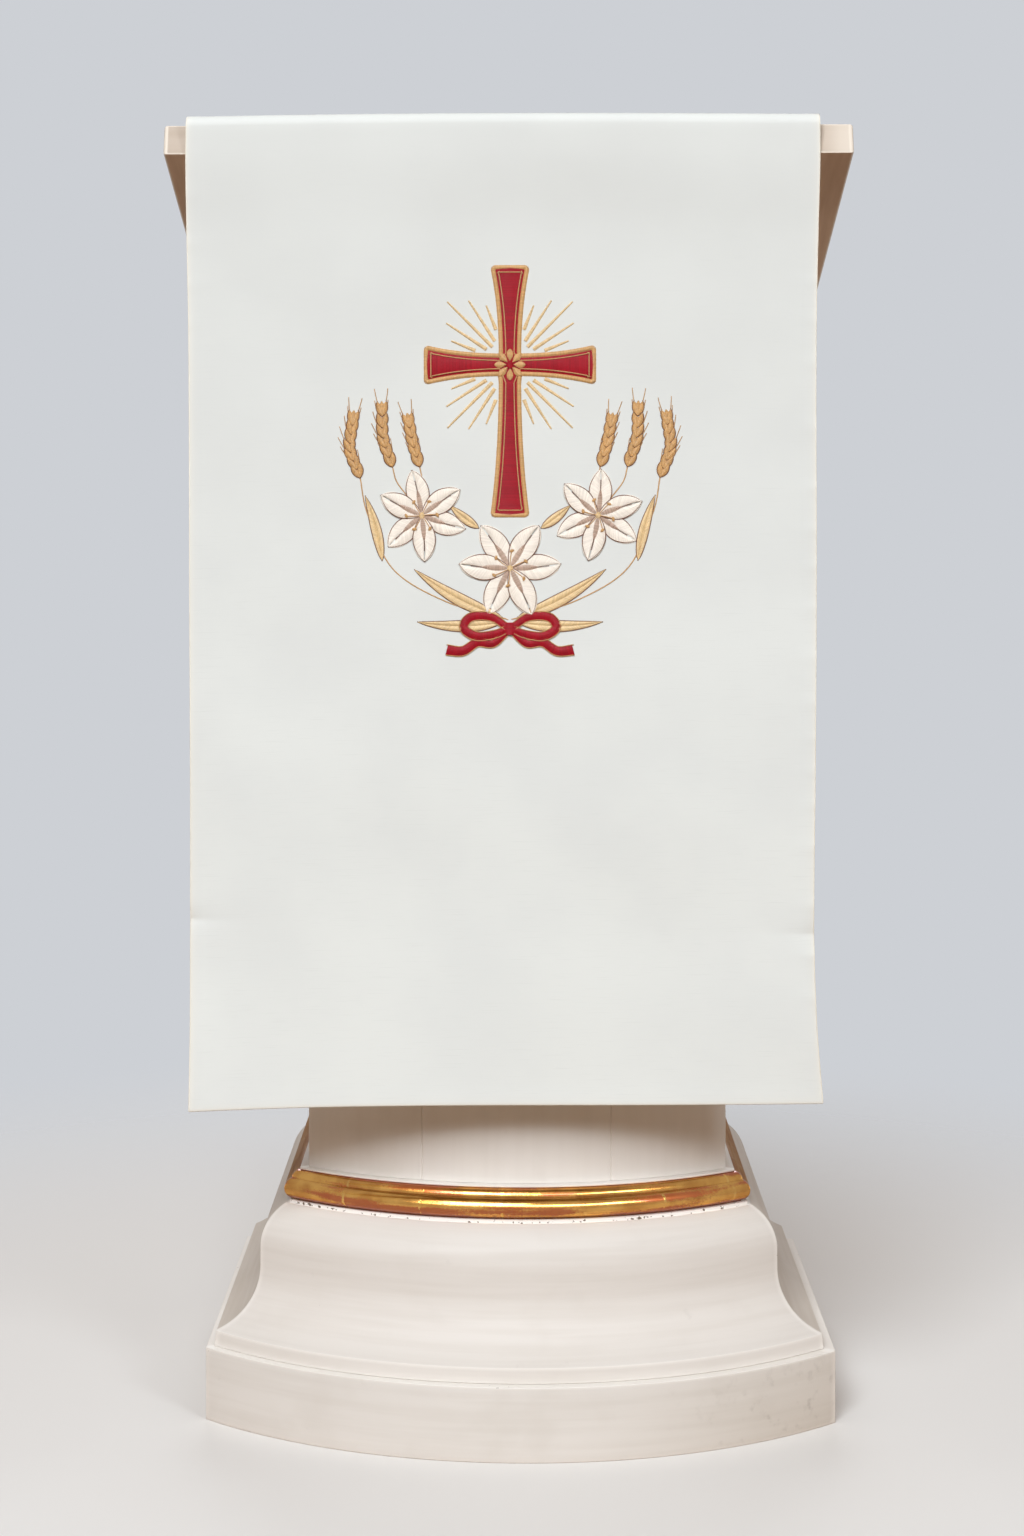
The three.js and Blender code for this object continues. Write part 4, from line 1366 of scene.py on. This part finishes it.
def woven_cloth():
    material, tree, shader = new_material("woven_cloth", colour(238, 238, 233), 0.82, Sheen_Weight=0.08)
    place = map_place(tree)
    yarns = []
    for axis in ("X", "Y"):
        yarn = {"Vector": place, "Scale": 0.05 * 2 * math.pi / YARN / 2}
        yarns.append(add(tree, "ShaderNodeTexWave", yarn, bands_direction=axis).outputs["Fac"])
    weave = maths(tree, "MAXIMUM", *yarns)
    slub_map = stretched(tree, place, (30.0, 900.0, 1.0))
    slub = noise(tree, slub_map, 1.0, 2.0)
    cloud = noise(tree, place, 9.0, 4.0)
    white = blended(tree, ramp(tree, cloud, 0.3, 0.75), colour(238, 240, 235), colour(234, 236, 232))
    white = blended(tree, ramp(tree, slub, 0.55, 0.8, 0.0, 0.5), white, colour(228, 230, 225))
    along = add(tree, "ShaderNodeSeparateXYZ", {0: place}).outputs[1]
    begins, full, fades, gone = (CLOTH_LENGTH - height for height in FALL_SHADE.values())
    painted_tone = ramp(tree, along, fades, gone, 0.6, 0.0)
    painted_tone = times(tree, painted_tone, ramp(tree, along, begins, full))
    # The top of the front fall is painted a grey shade.
    white = blended(tree, painted_tone, white, colour(213, 213, 208))
    # The lining's ivory, which on the rims and the edges of the face is a painted highlight.
    lining = marked(tree, "lining")
    white = blended(tree, lining, white, colour(252, 245, 229))
    relief = plus(tree, weave, times(tree, slub, 0.6))
    dressed(tree, shader, white, ramp(tree, cloud, 0.3, 0.7, 0.78, 0.88), relief, 0.3, 0.00008)
    return material


cloth.data.materials.append(woven_cloth())


# %% [markdown]
# ## Floor and light
#
# The floor is plain and pale, and fades into the same pale grey all round. The main lamp is large and
# soft and stands in front, high and a little to the left. A smaller one to its right fills the shadows. A
# wide card shows only as a reflection, and puts a streak on the gilding. A low lamp on each side catches
# the edges of the cloth, and one behind lights the reader's side of the desk.

# %% Floor
PALE = colour(205, 208, 213)
FLOOR = colour(233, 230, 226)
FLOOR_BOUNCE = colour(168, 142, 118)
FLOOR_REACH = 9.0
FLOOR_FADES = (0.5, 1.7)


def seen_directly(tree):
    """1 where the eye, a polish or a glass looks, and 0 where light only bounces."""
    path = add(tree, "ShaderNodeLightPath")
    seen = maths(tree, "MAXIMUM", path.outputs["Is Camera Ray"], path.outputs["Is Glossy Ray"])
    return maths(tree, "MAXIMUM", seen, path.outputs["Is Transmission Ray"])


def studio_floor():
    mesh = bpy.data.meshes.new("studio_floor")
    turns = np.linspace(0, 2 * math.pi, 96, endpoint=False)
    rim = [(FLOOR_REACH * math.cos(a), FLOOR_REACH * math.sin(a), 0) for a in turns]
    mesh.from_pydata(rim, [], [range(len(rim))])
    floor = in_scene("studio_floor", mesh)
    material, tree, shader = new_material("pale_floor", FLOOR, 0.9)
    tree.links.new(blended(tree, seen_directly(tree), FLOOR_BOUNCE, FLOOR), shader.inputs["Base Color"])
    distance = add(tree, "ShaderNodeVectorMath", {0: solid_place(tree)}, operation="LENGTH").outputs["Value"]
    clear = add(tree, "ShaderNodeBsdfTransparent")
    fade = ramp(tree, distance, *FLOOR_FADES)
    mix = add(tree, "ShaderNodeMixShader", {0: fade, 1: shader.outputs[0], 2: clear.outputs[0]})
    tree.links.new(mix.outputs[0], tree.nodes["Material Output"].inputs["Surface"])
    mesh.materials.append(material)


studio_floor()

# %% World and lamps
WORLD_LIGHT = 0.215
BOUNCED = colour(228, 184, 146)


def studio_world():
    world = bpy.data.worlds.new("studio")
    world.use_nodes = True
    tree = world.node_tree
    background = tree.nodes["Background"]
    seen = seen_directly(tree)
    tree.links.new(blended(tree, seen, BOUNCED, PALE), background.inputs["Color"])
    tree.links.new(ramp(tree, seen, 0, 1, WORLD_LIGHT, 1.0), background.inputs["Strength"])
    bpy.context.scene.world = world


DAYLIGHT = (0.895, 0.965, 1.025)
LAMPS = (
    # (name, place, height that it is aimed at, width and height, power)
    ("key", (-1.2, -5.3, 4.75), 0.4, (2.9, 2.9), 398),
    ("card", (0, -3.9, 2.2), 0.2, (4.2, 1.0), 130),
    ("fill", (3.6, -4.9, 3.3), 0.4, (1.5, 1.5), 93),
    ("left_edge", (-2.6, 0.6, 0.55), 0.6, (0.9, 1.0), 8),
    ("right_edge", (2.6, 0.6, 0.55), 0.6, (0.9, 1.0), 6),
    ("behind", (0, 3.4, 1.9), 0.6, (1.8, 1.6), 52),
)


def lamp(name, place, aim_height, size, power):
    light = bpy.data.lights.new(name, "AREA")
    light.shape = "RECTANGLE"
    light.size, light.size_y = size
    light.energy = power
    light.color = DAYLIGHT
    holder = in_scene(name, light)
    holder.location = place
    holder.rotation_euler = (Vector((0, 0, aim_height)) - Vector(place)).to_track_quat("-Z", "Y").to_euler()
    holder.visible_camera = False
    return holder


studio_world()
lamps = {row[0]: lamp(*row) for row in LAMPS}
lamps["card"].visible_diffuse = False
print("The studio has", len(lamps), "lamps")
bpy.context.scene.view_settings.view_transform = "Standard"

# %% [markdown]
# ## The pieces in place of the solids
#
# Every piece stands for a solid of the model and moves with the one body that it has.

# %% Say what each piece stands for
STANDS_FOR = (
    (plinth, "plinth", "painted_wood"),
    (base, "base_moulding", "painted_wood"),
    (gilding, "gilt_moulding", "gilding"),
    (neck, "neck_fillet", "painted_wood"),
    (shaft, "shaft", "painted_wood"),
    (board, "desk_board", "painted_wood"),
    (cloth, "cover_cloth", "cover_cloth"),
)
for piece, node, slot in STANDS_FOR:
    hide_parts(node)
    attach(piece, "root")
for piece in embroidery:
    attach(piece, "root")

# %% Update the scene
bpy.context.view_layer.update()
